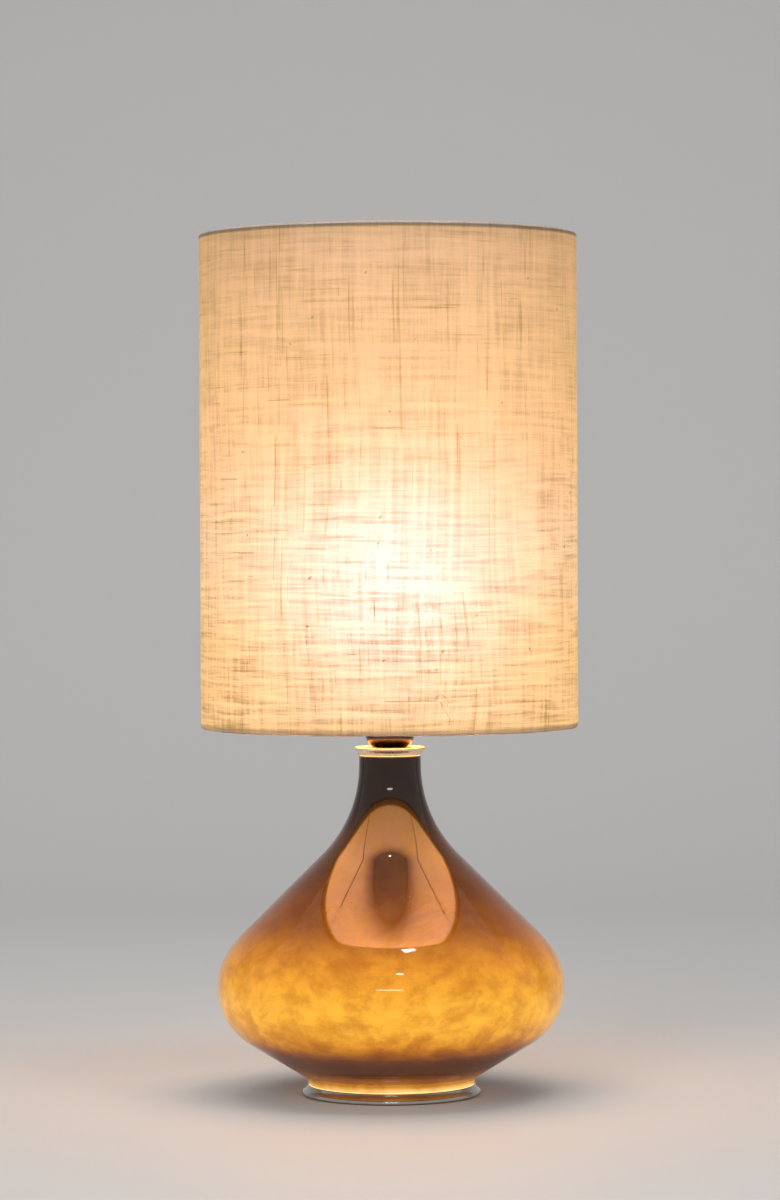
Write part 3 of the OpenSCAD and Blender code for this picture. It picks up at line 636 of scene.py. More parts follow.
@dataclass(frozen=True)
class Linen(Finish):
    """Coarse linen over a lit shade: uneven threads in both directions, slubs and open places.

    Args:
        yarn: colour of the threads by outside light.
        slub: colour of thick threads and knots.
        turned: pinker, slightly darker colour of the lower edge, where the cloth is turned round
            the wire: painted shade of the hem.
        rolled: lighter colour of the upper edge, where it is rolled over the wire: a painted
            highlight where light falls on the roll's top.
        warm: what close threads leave of the light.
        glow: light that comes through the cloth, by height in millimetres.
        strength: factor on the glow.
        pitch: distance from thread to thread, in metres.
        warp_waves: how fine the upright threads are each way, as waves to the metre.
        weft_waves: the same for the level threads.
        warp_slubs: the same for the upright threads' thick places.
        weft_slubs: the same for the level threads' thick places.
        warp_bands: the same for close and open stripes of upright threads.
        weft_bands: the same for stripes of level threads.
        calm: heights between which the weave grows calmer, in metres.
        radius: radius of the drum, in metres.
        low: height of the lower edge, in metres.
        high: height of the upper edge, in metres.
        hem: height of the edge that is rolled round the wire, in metres.
        clear: share of light that goes on through the cloth.
        lit: whether light comes through it.
    """

    yarn: Colour = (0.42, 0.35, 0.265)
    slub: Colour = (0.25, 0.18, 0.11)
    turned: Colour = (0.43, 0.32, 0.26)
    rolled: Colour = (0.58, 0.47, 0.4)
    warm: Colour = (0.71, 0.66, 0.38)
    glow: Stops = (
        (294, (0.415, 0.24, 0.03)),
        (305, (0.411, 0.233, 0.024)),
        (328, (0.404, 0.223, 0.013)),
        (366, (0.39, 0.216, 0.016)),
        (404, (0.373, 0.234, 0.055)),
        (442, (0.367, 0.238, 0.073)),
        (488, (0.386, 0.223, 0.047)),
        (534, (0.369, 0.2, 0.018)),
        (579, (0.321, 0.175, 0.005)),
        (625, (0.302, 0.156, 0.003)),
        (663, (0.276, 0.132, 0.001)),
        (685, (0.262, 0.122, 0.0)),
    )
    strength: float = 1.0
    pitch: float = 0.0024
    warp_waves: Place = (270.0, 270.0, 32.0)
    weft_waves: Place = (38.0, 38.0, 290.0)
    warp_slubs: Place = (420.0, 420.0, 30.0)
    weft_slubs: Place = (44.0, 44.0, 520.0)
    warp_bands: Place = (64.0, 64.0, 9.0)
    weft_bands: Place = (9.0, 9.0, 70.0)
    calm: Point = (0.46, 0.62)
    radius: float = 0.15
    low: float = 0.2926
    high: float = 0.6855
    hem: float = 0.0042
    clear: float = 0.5
    lit: bool = True

    def _weave(self, paint: Paint, place: Signal) -> tuple[Signal, Signal, Signal]:
        """Lays out the threads.

        Args:
            paint: the material that they belong to.
            place: where the surface is, in metres.

        Returns:
            How close the threads lie, where they are thick, and the relief that they make.
        """
        x, y, z = paint.split(place)
        gentle = paint.drift(paint.stretch(place, (1.0, 1.0, 0.4)), 12.0, 0.012)
        pulled = paint.drift(paint.stretch(place, (1.0, 1.0, 0.5)), 9.0, 0.03)
        bowed = paint.mix(z.ease(0.36, 0.52), pulled, gentle)
        level = paint.drift(paint.stretch(place, (0.4, 0.4, 1.0)), 12.0, 0.006)
        warp = paint.noise(paint.stretch(bowed, self.warp_waves), 1.0, 3.0, 0.65) - 0.5
        weft = paint.noise(paint.stretch(level, self.weft_waves), 1.0, 3.0, 0.65) - 0.5
        warp_thick = paint.noise(paint.stretch(bowed, self.warp_slubs), 1.0, 1.0).ease(0.62, 0.78)
        weft_thick = paint.noise(paint.stretch(level, self.weft_slubs), 1.0, 1.0).ease(0.64, 0.8)
        thick = (warp_thick * 0.6 + weft_thick * 0.55).at_most(1.0)
        bands = paint.noise(paint.stretch(place, self.warp_bands), 1.0, 2.0) - 0.5
        bands = bands + (paint.noise(paint.stretch(place, self.weft_bands), 1.0, 2.0) - 0.5)
        turn = y.angle_from(x) + bands * 0.03
        count = round(TURN * self.radius / self.pitch)
        waves = (turn * float(count)).sine() + ((z + bands * 0.003) * (TURN / self.pitch)).sine()
        grid = waves * paint.noise(place, 60.0, 2.0).ease(0.35, 0.65, 0.0, 0.045)
        blotch = paint.noise(place, 95.0, 2.0) - 0.5
        weft_pull = weft * z.ease(0.36, 0.56, 2.1, 1.1)
        close = warp * 1.1 + weft_pull + bands * 0.4 + blotch * 0.35 + grid
        relief = waves * 0.08 + (warp + weft) * 0.7 + thick * 0.35 + 0.5
        return close * z.ease(*self.calm, 0.88, 0.64), thick, relief

    def made(self) -> bpy.types.Material:
        """Writes the linen.

        Returns:
            The material.
        """
        paint = Paint(self.name)
        place = paint.place()
        x, y, z = paint.split(place)
        threads, thick, relief = self._weave(paint, place)
        above, below, hem = z - self.low, self.high - z, self.hem
        # crease: painted shade, a darker band just under the rolled upper edge.
        crease = below.ease(hem * 0.3, hem * 0.5) * below.ease(hem * 0.85, hem * 1.2, 1.0, 0.0)
        shade = (threads * 1.4 + thick * z.ease(*self.calm, 0.72, 0.55)).at_least(0.0).at_most(1.0)
        warmth = paint.mix(shade, (1.0, 1.0, 1.0), self.warm)
        colour = paint.mix(thick, self.yarn, self.slub)
        # The lower edge's pinker, darker colour is painted shade of the hem.
        colour = paint.mix(above.ease(hem * 0.7, hem * 1.2, 1.0, 0.0), colour, self.turned)
        # The upper edge's lighter colour is a painted highlight on the top of the roll.
        colour = paint.mix(below.ease(hem * 0.3, hem * 0.8, 1.0, 0.0), colour, self.rolled)
        colour = paint.dim(colour, 1.0 - threads * 0.45 - crease * 0.4)
        sockets: dict[str, Any] = {
            "Base_Color": paint.tint(colour, warmth),
            "Roughness": 0.9,
            "Sheen_Weight": 0.1,
            "Sheen_Roughness": 0.5,
            "Normal": paint.bump(relief, 0.0004),
        }
        if self.lit:
            edge = above.ease(hem * 0.7, hem * 1.3, 0.35, 1.0) * below.ease(hem * 0.5, hem * 1.25)
            edge = edge * paint.around(x, y).share(self.radius - 0.0013, self.radius - 0.001)
            light = paint.dim(paint.profile(z, self.glow), (1.0 - threads * 0.5) * edge)
            sockets["Emission_Color"] = paint.tint(light, warmth)
            sockets["Emission_Strength"] = self.strength
            sockets["Transmission_Weight"] = self.clear
            sockets["Roughness"] = 0.78
            sockets["IOR"] = 1.3
        return paint.close(**sockets)


@dataclass(frozen=True)
class Laminate(Finish):
    """Stiff white lining of the shade, lit by the bulb.

    Args:
        colour: colour of the lining.
        inner: light that its inner face gives back.
        fade: how that light falls off, by height in millimetres.
        outer: light that leaves its outer face, behind the linen.
        clear: share of light that goes on through it.
        bulb: height of the bulb's dome, in metres.
        middle: radius between its two faces, in metres.
        mottle: how fine its mottled tone is, as waves to the metre.
        weave: how fine the weave of its back is each way, the same way.
    """

    colour: Colour = (0.8, 0.86, 0.93)
    inner: Colour = (7.7, 3.0, 0.2)
    fade: Stops = (
        (290, (0.86, 0.86, 0.86)),
        (350, (0.98, 0.98, 0.98)),
        (440, (1.0, 1.0, 1.0)),
        (500, (0.86, 0.86, 0.86)),
        (560, (0.5, 0.48, 0.45)),
        (610, (0.24, 0.21, 0.18)),
        (650, (0.12, 0.1, 0.08)),
        (686, (0.07, 0.06, 0.05)),
    )
    outer: Colour = (0.3, 0.4, 2.1)
    clear: float = 1.0
    bulb: float = 0.41
    middle: float = 0.1489
    mottle: float = 120.0
    weave: Place = (300.0, 300.0, 900.0)

    def made(self) -> bpy.types.Material:
        """Writes the lining.

        Returns:
            The material.
        """
        paint = Paint(self.name)
        place = paint.place()
        x, y, z = paint.split(place)
        near = (z - self.bulb).size().ease(0.02, 0.3, 1.0, 0.45)
        mottle = paint.noise(place, self.mottle, 4.0)
        weave = paint.noise(paint.stretch(place, self.weave), 1.0, 2.0)
        tone = mottle.share(0.3, 0.7, 0.95, 1.03) * weave.share(0.3, 0.7, 0.96, 1.04)
        inside = paint.around(x, y).share(self.middle - 0.0001, self.middle + 0.0001, 1.0, 0.0)
        faded = paint.vector("MULTIPLY", paint.profile(z, self.fade), self.inner)
        light = paint.mix(inside, paint.dim(self.outer, near), faded)
        return paint.close(
            Base_Color=paint.dim(self.colour, tone),
            Roughness=0.78,
            Normal=paint.bump(weave, 0.0001),
            Transmission_Weight=self.clear,
            IOR=1.3,
            Emission_Color=paint.dim(light, tone * (1.0 - paint.back())),
            Emission_Strength=1.0,
        )


@dataclass(frozen=True)
class Opal(Finish):
    """Opal plastic or glass with a light behind it.

    Args:
        colour: colour when it is seen by outside light.
        light: colour of the light.
        strength: radiance of the light.
        cloudy: how fine the cloudy parts are, as waves to the metre.
        grain: the same for the surface's grain.
    """

    colour: Colour = (0.9, 0.86, 0.78)
    light: Colour = (1.0, 0.8, 0.55)
    strength: float = 4.0
    cloudy: float = 70.0
    grain: float = 900.0

    def made(self) -> bpy.types.Material:
        """Writes the opal.

        Returns:
            The material.
        """
        paint = Paint(self.name)
        place = paint.place()
        cloud = paint.noise(place, self.cloudy, 3.0)
        tone = cloud.share(0.3, 0.7, 0.95, 1.04)
        return paint.close(
            Base_Color=paint.dim(self.colour, tone),
            Roughness=0.28,
            Normal=paint.bump(paint.noise(place, self.grain), 1e-5),
            Emission_Color=paint.dim(self.light, tone),
            Emission_Strength=self.strength,
        )


@dataclass(frozen=True)
class StudioPaint(Finish):
    """Plain pale floor and wall.

    Args:
        colour: colour of the paint.
        roller: how fine the roller's marks are, as waves to the metre.
    """

    colour: Colour = PALE
    roller: float = 260.0

    def made(self) -> bpy.types.Material:
        """Writes the paint.

        Returns:
            The material.
        """
        paint = Paint(self.name)
        roller = paint.noise(paint.place(), self.roller, 3.0)
        material = paint.close(
            Base_Color=self.colour,
            Roughness=0.6,
            Specular_IOR_Level=0.25,
            Normal=paint.bump(roller, 2e-5),
        )
        paint.open_behind()
        return material


PLATED = (0.6, 0.6, 0.62)
SLUB = Linen("linen_slub", (0.3, 0.22, 0.14), (0.22, 0.15, 0.09), strength=0.85, clear=0.35)
FIBRE = Linen("linen_fibre", (0.5, 0.39, 0.26), (0.4, 0.3, 0.18), lit=False)
FINISHES: Mapping[str, Finish] = {
    "foot_metal": Metal(
        "dark_chrome", (0.5, 0.46, 0.42), 0.12, Lay.TURNED, 3e-6, (0.36, 0.31, 0.26), 0.3
    ),
    "felt": Felt("felt"),
    "sheet_steel": Metal("zinc_sheet", PLATED, 0.38, Lay.ROLLED, 1e-5),
    "screw_steel": Metal("zinc_screw", PLATED, 0.3, Lay.TURNED),
    "rubber": Moulded("rubber", (0.02, 0.02, 0.021), 0.7, 900.0, 4e-5, (0.05, 0.05, 0.05)),
    "white_plastic": Moulded("white_plastic"),
    "wire_cover": Moulded("wire_cover", (0.5, 0.1, 0.05), 0.35, 600.0, 1e-5, (0.34, 0.08, 0.05)),
    "cable_cover": Moulded("cable_cover", (0.78, 0.77, 0.73), 0.42),
    "brass": Metal("brass", (0.72, 0.53, 0.26), 0.25, Lay.TURNED, 5e-6, (0.4, 0.25, 0.1)),
    "board": Moulded("board_lacquer", (0.82, 0.83, 0.8), 0.35, 800.0, 1e-5, (0.7, 0.7, 0.66), 0.4),
    "chips": Opal("chips", (0.9, 0.72, 0.25), (1.0, 0.72, 0.3), 12.0),
    "opal": Opal("diffuser", (0.93, 0.9, 0.84), (1.0, 0.74, 0.4), 3.0),
    # The gasket's amber glow is painted light: the silicone is no lamp.
    "gasket": Opal("silicone_painted_glow", (0.34, 0.31, 0.27), (1.0, 0.52, 0.15), 1.6),
    "amber_glass": AmberGlass("amber_glass"),
    "collar_metal": Metal(
        "pale_gold", (0.96, 0.74, 0.5), 0.27, Lay.TURNED, 4e-6, (0.86, 0.56, 0.3)
    ),
    "holder_metal": Metal(
        "bronze", (0.075, 0.06, 0.05), 0.24, Lay.TURNED, 4e-6, (0.05, 0.036, 0.026), 0.2
    ),
    "ceramic": Moulded("steatite", (0.84, 0.8, 0.72), 0.3, 500.0, 1e-5, (0.66, 0.6, 0.52), 0.5),
    "contact_metal": Metal("bright_strip", (0.78, 0.6, 0.32), 0.22, Lay.ROLLED),
    "shade_wire": Moulded("powder_coat", (0.9, 0.87, 0.81), 0.5, 1800.0, 4e-5, (0.74, 0.7, 0.63)),
    "liner": Laminate("lining"),
    "linen": Linen("linen"),
    "bulb_metal": Metal("nickel", (0.7, 0.69, 0.67), 0.22, Lay.TURNED, 6e-6),
    "bulb_black": Moulded(
        "black_glaze", (0.02, 0.02, 0.025), 0.2, 500.0, 1e-5, (0.05, 0.05, 0.05), 0.6
    ),
    "bulb_white": Moulded("bulb_white", (0.84, 0.84, 0.82), 0.4, 1200.0, 1e-5, (0.74, 0.73, 0.7)),
    "bulb_opal": Opal("bulb_dome", (0.95, 0.93, 0.88), (1.0, 0.88, 0.72), 14.0),
}


# ---- making meshes ----

CREASE = 35.0


class Growth(Tree):
    """One Geometry Nodes tree while it is being written."""

    def __init__(self, name: str, sizes: Mapping[str, float]) -> None:
        """Starts an empty tree.

        Args:
            name: name of the tree and of the piece that it makes.
            sizes: its named inputs and their values.
        """
        group = bpy.data.node_groups.new(name, "GeometryNodeTree")
        super().__init__(group)
        self.name = name
        self.sizes = sizes
        self.group = group
        new = group.interface.new_socket
        new("Geometry", in_out="INPUT", socket_type="NodeSocketGeometry")
        new("Geometry", in_out="OUTPUT", socket_type="NodeSocketGeometry")
        self.keys = {
            key: new(key, in_out="INPUT", socket_type="NodeSocketFloat").identifier for key in sizes
        }
        self.source = self.node("NodeGroupInput")

    def given(self, key: str) -> Signal:
        """One of the named inputs."""
        return Signal(self, self.source.outputs[key])

    def chance(self, low: Value, high: Value, seed: int) -> Signal:
        """Draws a number for each point, always the same for one seed.

        Args:
            low: smallest number.
            high: largest number.
            seed: the seed.

        Returns:
            The number.
        """
        sockets = {2: low, 3: high, 8: seed}
        made = self.node("FunctionNodeRandomValue", {"data_type": "FLOAT"}, sockets)
        return Signal(self, made.outputs[1])

    def step(
        self,
        kind: str,
        settings: Mapping[str, Any],
        sockets: Mapping[Union[str, int], Any],
    ) -> Signal:
        """One node that gives a geometry or a value in its first output."""
        return Signal(self, self.node(kind, settings, sockets).outputs[0])

    def tube(
        self,
        path: Signal,
        thickness: Value,
        sides: int,
        taper: Optional[Signal] = None,
    ) -> Signal:
        """Round skin along a path.

        Args:
            path: the curve that it follows.
            thickness: its radius.
            sides: number of flat sides.
            taper: share of the radius along the path.

        Returns:
            The skin as a mesh.
        """
        if taper is not None:
            path = self.step("GeometryNodeSetCurveRadius", {}, {"Curve": path, "Radius": taper})
        sockets = {"Resolution": sides, "Radius": thickness}
        ring = self.step("GeometryNodeCurvePrimitiveCircle", {}, sockets)
        sockets = {"Curve": path, "Profile Curve": ring, "Fill Caps": True}
        return self.step("GeometryNodeCurveToMesh", {}, sockets)

    def grown(
        self,
        geometry: Signal,
        finish: bpy.types.Material,
        base: Optional[bpy.types.Mesh] = None,
    ) -> bpy.types.Object:
        """Ends the tree and turns its result into a plain mesh.

        Args:
            geometry: the tree's result.
            finish: the material of every face.
            base: the mesh that the tree starts from, if it takes one.

        Returns:
            The new piece.
        """
        real = self.step("GeometryNodeRealizeInstances", {}, {0: geometry})
        dressed = self.step("GeometryNodeSetMaterial", {}, {"Geometry": real, "Material": finish})
        self.node("NodeGroupOutput", {}, {0: dressed})
        base = base or bpy.data.meshes.new(self.name + "_base")
        carrier = bpy.data.objects.new(self.name + "_tree", base)
        bpy.context.scene.collection.objects.link(carrier)
        modifier = carrier.modifiers.new(self.name, "NODES")
        modifier.node_group = self.group
        for key, value in self.sizes.items():
            modifier[self.keys[key]] = float(value)
        graph = bpy.context.evaluated_depsgraph_get()
        mesh = bpy.data.meshes.new_from_object(carrier.evaluated_get(graph), depsgraph=graph)
        carrier.modifiers.clear()
        bpy.data.objects.remove(carrier)
        mesh.name = self.name
        return placed(self.name, mesh)


def placed(name: str, mesh: bpy.types.Mesh) -> bpy.types.Object:
    """Puts a mesh into the scene, at the origin.

    Args:
        name: name of the piece.
        mesh: its mesh.

    Returns:
        The new piece.
    """
    piece = bpy.data.objects.new(name, mesh)
    bpy.context.scene.collection.objects.link(piece)
    return piece


def smoothed(name: str, mesh: bpy.types.Mesh, crease: float) -> bpy.types.Object:
    """Puts a mesh into the scene with its rounds smooth and its edges crisp.

    Args:
        name: name of the piece.
        mesh: its mesh.
        crease: angle above which an edge stays sharp, in degrees.

    Returns:
        The new piece.
    """
    mesh.shade_smooth()
    mesh.set_sharp_from_angle(angle=math.radians(crease))
    return placed(name, mesh)


def skinned(
    name: str,
    points: np.ndarray,
    faces: Sequence[Sequence[int]],
    crease: float = CREASE,
) -> bpy.types.Object:
    """Makes a piece from points and faces, with its faces turned outwards.

    Args:
        name: name of the piece.
        points: its corners, in metres.
        faces: its faces, as numbers of corners.
        crease: angle above which an edge stays sharp, in degrees.

    Returns:
        The new piece.
    """
    mesh = bpy.data.meshes.new(name)
    mesh.from_pydata([tuple(p) for p in points], [], [tuple(f) for f in faces])
    work = bmesh.new()
    work.from_mesh(mesh)
    bmesh.ops.remove_doubles(work, verts=work.verts, dist=1e-7)
    bmesh.ops.recalc_face_normals(work, faces=work.faces)
    work.to_mesh(mesh)
    work.free()
    return smoothed(name, mesh, crease)


def merged(name: str, node: str, crease: float = CREASE) -> bpy.types.Object:
    """A joined copy of a CAD node's mesh, with smooth rounds and crisp edges.

    Args:
        name: name of the piece.
        node: the CAD node.
        crease: angle above which an edge stays sharp, in degrees.

    Returns:
        The new piece.
    """
    mesh = frame["nodes"][node].data.copy()
    mesh.name = name
    work = bmesh.new()
    work.from_mesh(mesh)
    bmesh.ops.remove_doubles(work, verts=work.verts, dist=2e-6)
    bmesh.ops.dissolve_degenerate(work, edges=work.edges, dist=1e-7)
    work.to_mesh(mesh)
    work.free()
    return smoothed(name, mesh, crease)


def lathed(
    name: str,
    outline: Sequence[Point],
    steps: int,
    crease: float = CREASE,
) -> bpy.types.Object:
    """Turns a closed outline about the lamp's axis.

    Args:
        name: name of the piece.
        outline: (radius, height) corners of the closed section.
        steps: number of steps around.
        crease: angle above which an edge stays sharp, in degrees.

    Returns:
        The new piece.
    """
    radius, height = np.array(outline).T
    turn = np.arange(steps) * TURN / steps
    across = np.cos(turn)[:, None] * radius, np.sin(turn)[:, None] * radius
    points = np.stack([*across, np.broadcast_to(height, across[0].shape)], -1).reshape(-1, 3)
    return skinned(name, points, wrapped_faces(steps, len(outline)), crease)


def wrapped_faces(around: int, along: int) -> list[tuple[int, int, int, int]]:
    """Faces of a ring whose section is closed too.

    Args:
        around: number of sections.
        along: number of corners in each.

    Returns:
        The faces, as numbers of corners.
    """
    faces = []
    for i in range(around):
        j = (i + 1) % around
        for k in range(along):
            m = (k + 1) % along
            faces.append((i * along + k, j * along + k, j * along + m, i * along + m))
    return faces


def arc(middle: Point, radius: float, start: float, end: float, steps: int) -> list[Point]:
    """Points along an arc, from one angle to another, in degrees."""
    turn = np.radians(np.linspace(start, end, steps + 1))
    return [(middle[0] + radius * math.cos(a), middle[1] + radius * math.sin(a)) for a in turn]


def line(start: Point, end: Point, steps: int) -> list[Point]:
    """Points along a straight line, without its ends."""
    share = np.linspace(0, 1, steps + 1)[1:-1]
    return [(start[0] + (end[0] - start[0]) * s, start[1] + (end[1] - start[1]) * s) for s in share]


def ready(
    piece: bpy.types.Object,
    finish: Optional[bpy.types.Material],
    body: Body,
    stands_for: Sequence[str] = (),
) -> bpy.types.Object:
    """Gives a finished piece its finish, sets it on its body and hides the CAD nodes that it stands
    for.

    Args:
        piece: the piece, in its place.
        finish: its material, or None where it has it already.
        body: the body that it rides on.
        stands_for: the CAD nodes that it is shown in place of.

    Returns:
        The piece.
    """
    if finish is not None:
        piece.data.materials.clear()
        piece.data.materials.append(finish)
    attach(piece, body.value)
    if stands_for:
        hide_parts(*stands_for)
    log.info("%s: %d faces on %s", piece.name, len(piece.data.polygons), body.value)
    return piece


class Palette:
    """The finishes as materials, each made once."""

    def __init__(self) -> None:
        """Starts with nothing made."""
        self.made: dict[str, bpy.types.Material] = {}

    def __getitem__(self, slot: str) -> bpy.types.Material:
        """The material of one of the record's slots.

        Args:
            slot: the slot.

        Returns:
            Its material, made when it is first asked for.
        """
        if slot not in self.made:
            self.made[slot] = FINISHES[slot].made()
        return self.made[slot]

    def dress_frame(self) -> None:
        """Gives every CAD node the finish of its slot."""
        for row in frame["record"]["subparts"]:
            node = frame["nodes"][row["node"]]
            node.data.materials.clear()
            node.data.materials.append(self[row["material_slot"]])
            log.info("%s: %s", row["node"], row["material_slot"])


# ---- the lamp ----


@dataclass
class Foot:
    """Turned metal foot with the felt pad, cover and cord inlet under it.

    Args:
        palette: the finishes.
        crease: angle above which the foot's edges stay sharp, in degrees.
    """

    palette: Palette
    crease: float = 32.0

    def build(self) -> bpy.types.Object:
        """Makes the foot's shown metal.

        Returns:
            The foot.
        """
        foot = merged("foot", "foot_plate", self.crease)
        return ready(foot, self.palette["foot_metal"], Body.ROOT, ["foot_plate"])


@dataclass
class GlassBody:
    """Blown glass body, turned from one outline of straight and round stretches.

    Args:
        palette: the finishes.
        wall: thickness of the glass, in metres, as all lengths here.
        lip_radius: outer radius of the lip.
        lip_flare: how much wider the lip is at the top of its upright edge.
        lip_height: height of that edge.
        lip_round: radius of the hollow over the lip.
        belly_radius: largest radius.
        belly_height: height of the widest place above the lip.
        belly_round: radius of the belly's outline.
        crown_round: radius where the belly goes over into the shoulder's slope.
        crown_turn: how far the belly's outline turns there, in degrees.
        shoulder_height: height at which the shoulder's slope would meet the neck.
        neck_round: radius of the hollow from shoulder to neck.
        neck_root: radius at the foot of the neck.
        neck_radius: radius at its top.
        eased: radius of the fire-polished edges.
        steps: steps around.
    """

    palette: Palette
    wall: float = 0.004
    lip_radius: float = 0.0665
    lip_flare: float = 0.001
    lip_height: float = 0.005
    lip_round: float = 0.004
    belly_radius: float = 0.1384
    belly_height: float = 0.0772
    belly_round: float = 0.0515
    crown_round: float = 0.12
    crown_turn: float = 9.0
    shoulder_height: float = 0.211
    neck_round: float = 0.1
    neck_root: float = 0.0256
    neck_radius: float = 0.0246
    eased: float = 0.0009
    steps: int = 288

    @staticmethod
    def _way(start: Point, end: Point) -> float:
        """Direction from one point to another, in degrees."""
        return math.degrees(math.atan2(end[1] - start[1], end[0] - start[0]))

    def _tangent(self, start: Point, middle: Point, radius: float, side: int) -> float:
        """Angle at which the line from start touches a circle, seen from its middle."""
        away = math.degrees(math.acos(radius / math.dist(start, middle)))
        return self._way(middle, start) + side * away

    @staticmethod
    def _corner(corner: Point, into: float, out: float, radius: float) -> Point:
        """Middle of the arc that rounds a turn to the right.

        Args:
            corner: where the two straight lines would meet.
            into: direction of the line into it, in degrees.
            out: direction of the line out of it, in degrees.
            radius: radius of the arc.

        Returns:
            The middle.
        """
        first = np.array([math.cos(math.radians(into - 90)), math.sin(math.radians(into - 90))])
        second = np.array([math.cos(math.radians(out - 90)), math.sin(math.radians(out - 90))])
        middle = np.array(corner) + radius * (first + second) / (1 + first @ second)
        return float(middle[0]), float(middle[1])

    def _side(self, inset: float, height: float) -> list[Point]:
        """Half outline from lip to neck.

        Args:
            inset: how far it is moved inwards.
            height: height of the neck's top.

        Returns:
            Its corners, without the round ends.
        """
        belly = (self.belly_radius - self.belly_round, self.belly_height)
        lip = (self.lip_radius + self.lip_flare, self.lip_height)
        neck = (self.neck_root, self.shoulder_height)
        upright = self._way((self.lip_radius, 0.0), lip)
        under = self._tangent(lip, belly, self.belly_round, 1) + 90
        join = self._tangent(neck, belly, self.belly_round, -1) - self.crown_turn
        away, turn = self.belly_round - self.crown_round, math.radians(join)
        crown = (belly[0] + away * math.cos(turn), belly[1] + away * math.sin(turn))
        shoulder = self._tangent(neck, crown, self.crown_round, -1) + 90
        rising = self._way(neck, (self.neck_radius, height))
        lip_middle = self._corner(lip, upright, under, self.lip_round)
        neck_middle = self._corner(neck, shoulder, rising, self.neck_round)
        return [
            *arc(lip_middle, self.lip_round + inset, upright + 90, under + 90, 12),
            *arc(belly, self.belly_round - inset, under - 90, join, 60)[:-1],
            *arc(crown, self.crown_round - inset, join, shoulder - 90, 12),
            *arc(neck_middle, self.neck_round + inset, shoulder + 90, rising + 90, 40),
        ]

    def build(self) -> bpy.types.Object:
        """Makes the glass.

        Returns:
            The glass body.
        """
        low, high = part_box("glass_body")
        height = high.z - low.z
        soft, bore = self.eased, self.lip_radius - self.wall
        throat = self.neck_radius - self.wall
        outline = [
            *arc((self.lip_radius - soft, soft), soft, -90, 0, 5),
            *self._side(0.0, height),
            *arc((self.neck_radius - soft, height - soft), soft, 0, 90, 5),
            *arc((throat + soft, height - soft), soft, 90, 180, 5),
            *reversed(self._side(self.wall, height)),
            *arc((bore + soft, soft), soft, 180, 270, 5),
        ]
        glass = lathed("glass", [(r, z + low.z) for r, z in outline], self.steps)
        return ready(glass, self.palette["amber_glass"], Body.ROOT, ["glass_body"])


@dataclass
class Fittings:
    """Collar and lampholder: the turned metal between glass and shade.

    Args:
        palette: the finishes.
        pitch: pitch of the thread that holds the shade rings, in metres, as all lengths here.
        crest: radius of the thread's crest.
        reach: distance from the lamp's axis to that crest's middle.
        start: how far above the cap the thread starts.
        over: how many turns it goes on above the upper ring.
        bends: steps in each of its turns.
        sides: flat sides of its crest.
    """

    palette: Palette
    pitch: float = 0.002
    crest: float = 0.00035
    reach: float = 0.019
    start: float = 0.0006
    over: int = 4
    bends: int = 72
    sides: int = 6

    def build(self) -> None:
        """Makes the collar, the holder and its thread."""
        collar = self.palette["collar_metal"]
        ready(merged("collar", "neck_collar"), collar, Body.ROOT, ["neck_collar"])
        metal = self.palette["holder_metal"]
        for name, node, body in (
            ("holder_shell", "holder_cap", Body.ROOT),
            ("holder_tube", "holder_sleeve", Body.ROOT),
            ("ring_below", "lower_shade_ring", Body.ROOT),
            ("ring_above", "upper_shade_ring", Body.SHADE_RING),
        ):
            ready(merged(name, node), metal, body, [node])
        self._thread(metal)

    def _thread(self, metal: bpy.types.Material) -> None:
        """Winds the thread round the holder's tube.

        Args:
            metal: the holder's metal.
        """
        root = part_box("holder_cap")[1].z
        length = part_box("upper_shade_ring")[1].z + self.pitch * self.over - root
        sizes = {"Pitch": self.pitch, "Length": length, "Radius": self.reach}
        tree = Growth("holder_thread", sizes)
        sockets = {
            "Resolution": self.bends,
            "Rotations": tree.given("Length") / tree.given("Pitch"),
            "Start Radius": tree.given("Radius"),
            "End Radius": tree.given("Radius"),
            "Height": tree.given("Length"),
        }
        helix = tree.step("GeometryNodeCurveSpiral", {}, sockets)
        sockets = {"Geometry": helix, "Translation": (0, 0, root + self.start)}
        lifted = tree.step("GeometryNodeTransform", {}, sockets)
        piece = tree.grown(tree.tube(lifted, self.crest, self.sides), metal)
        piece.data.shade_smooth()
        ready(piece, None, Body.ROOT)


@dataclass(frozen=True)
class Slubs:
    """Thick places of the yarn that lie the same way.

    Args:
        name: name of the piece that they make.
        count: how many there are.
        lean: direction that they lie in, in radians from level.
        length: length of a common one, in metres.
        thickness: its radius, in metres.
        salt: what sets their random draws apart.
        flatness: how much wider than proud they are.
    """

    name: str
    count: int
    lean: float
    length: float
    thickness: float
    salt: int
    flatness: float = 1.9


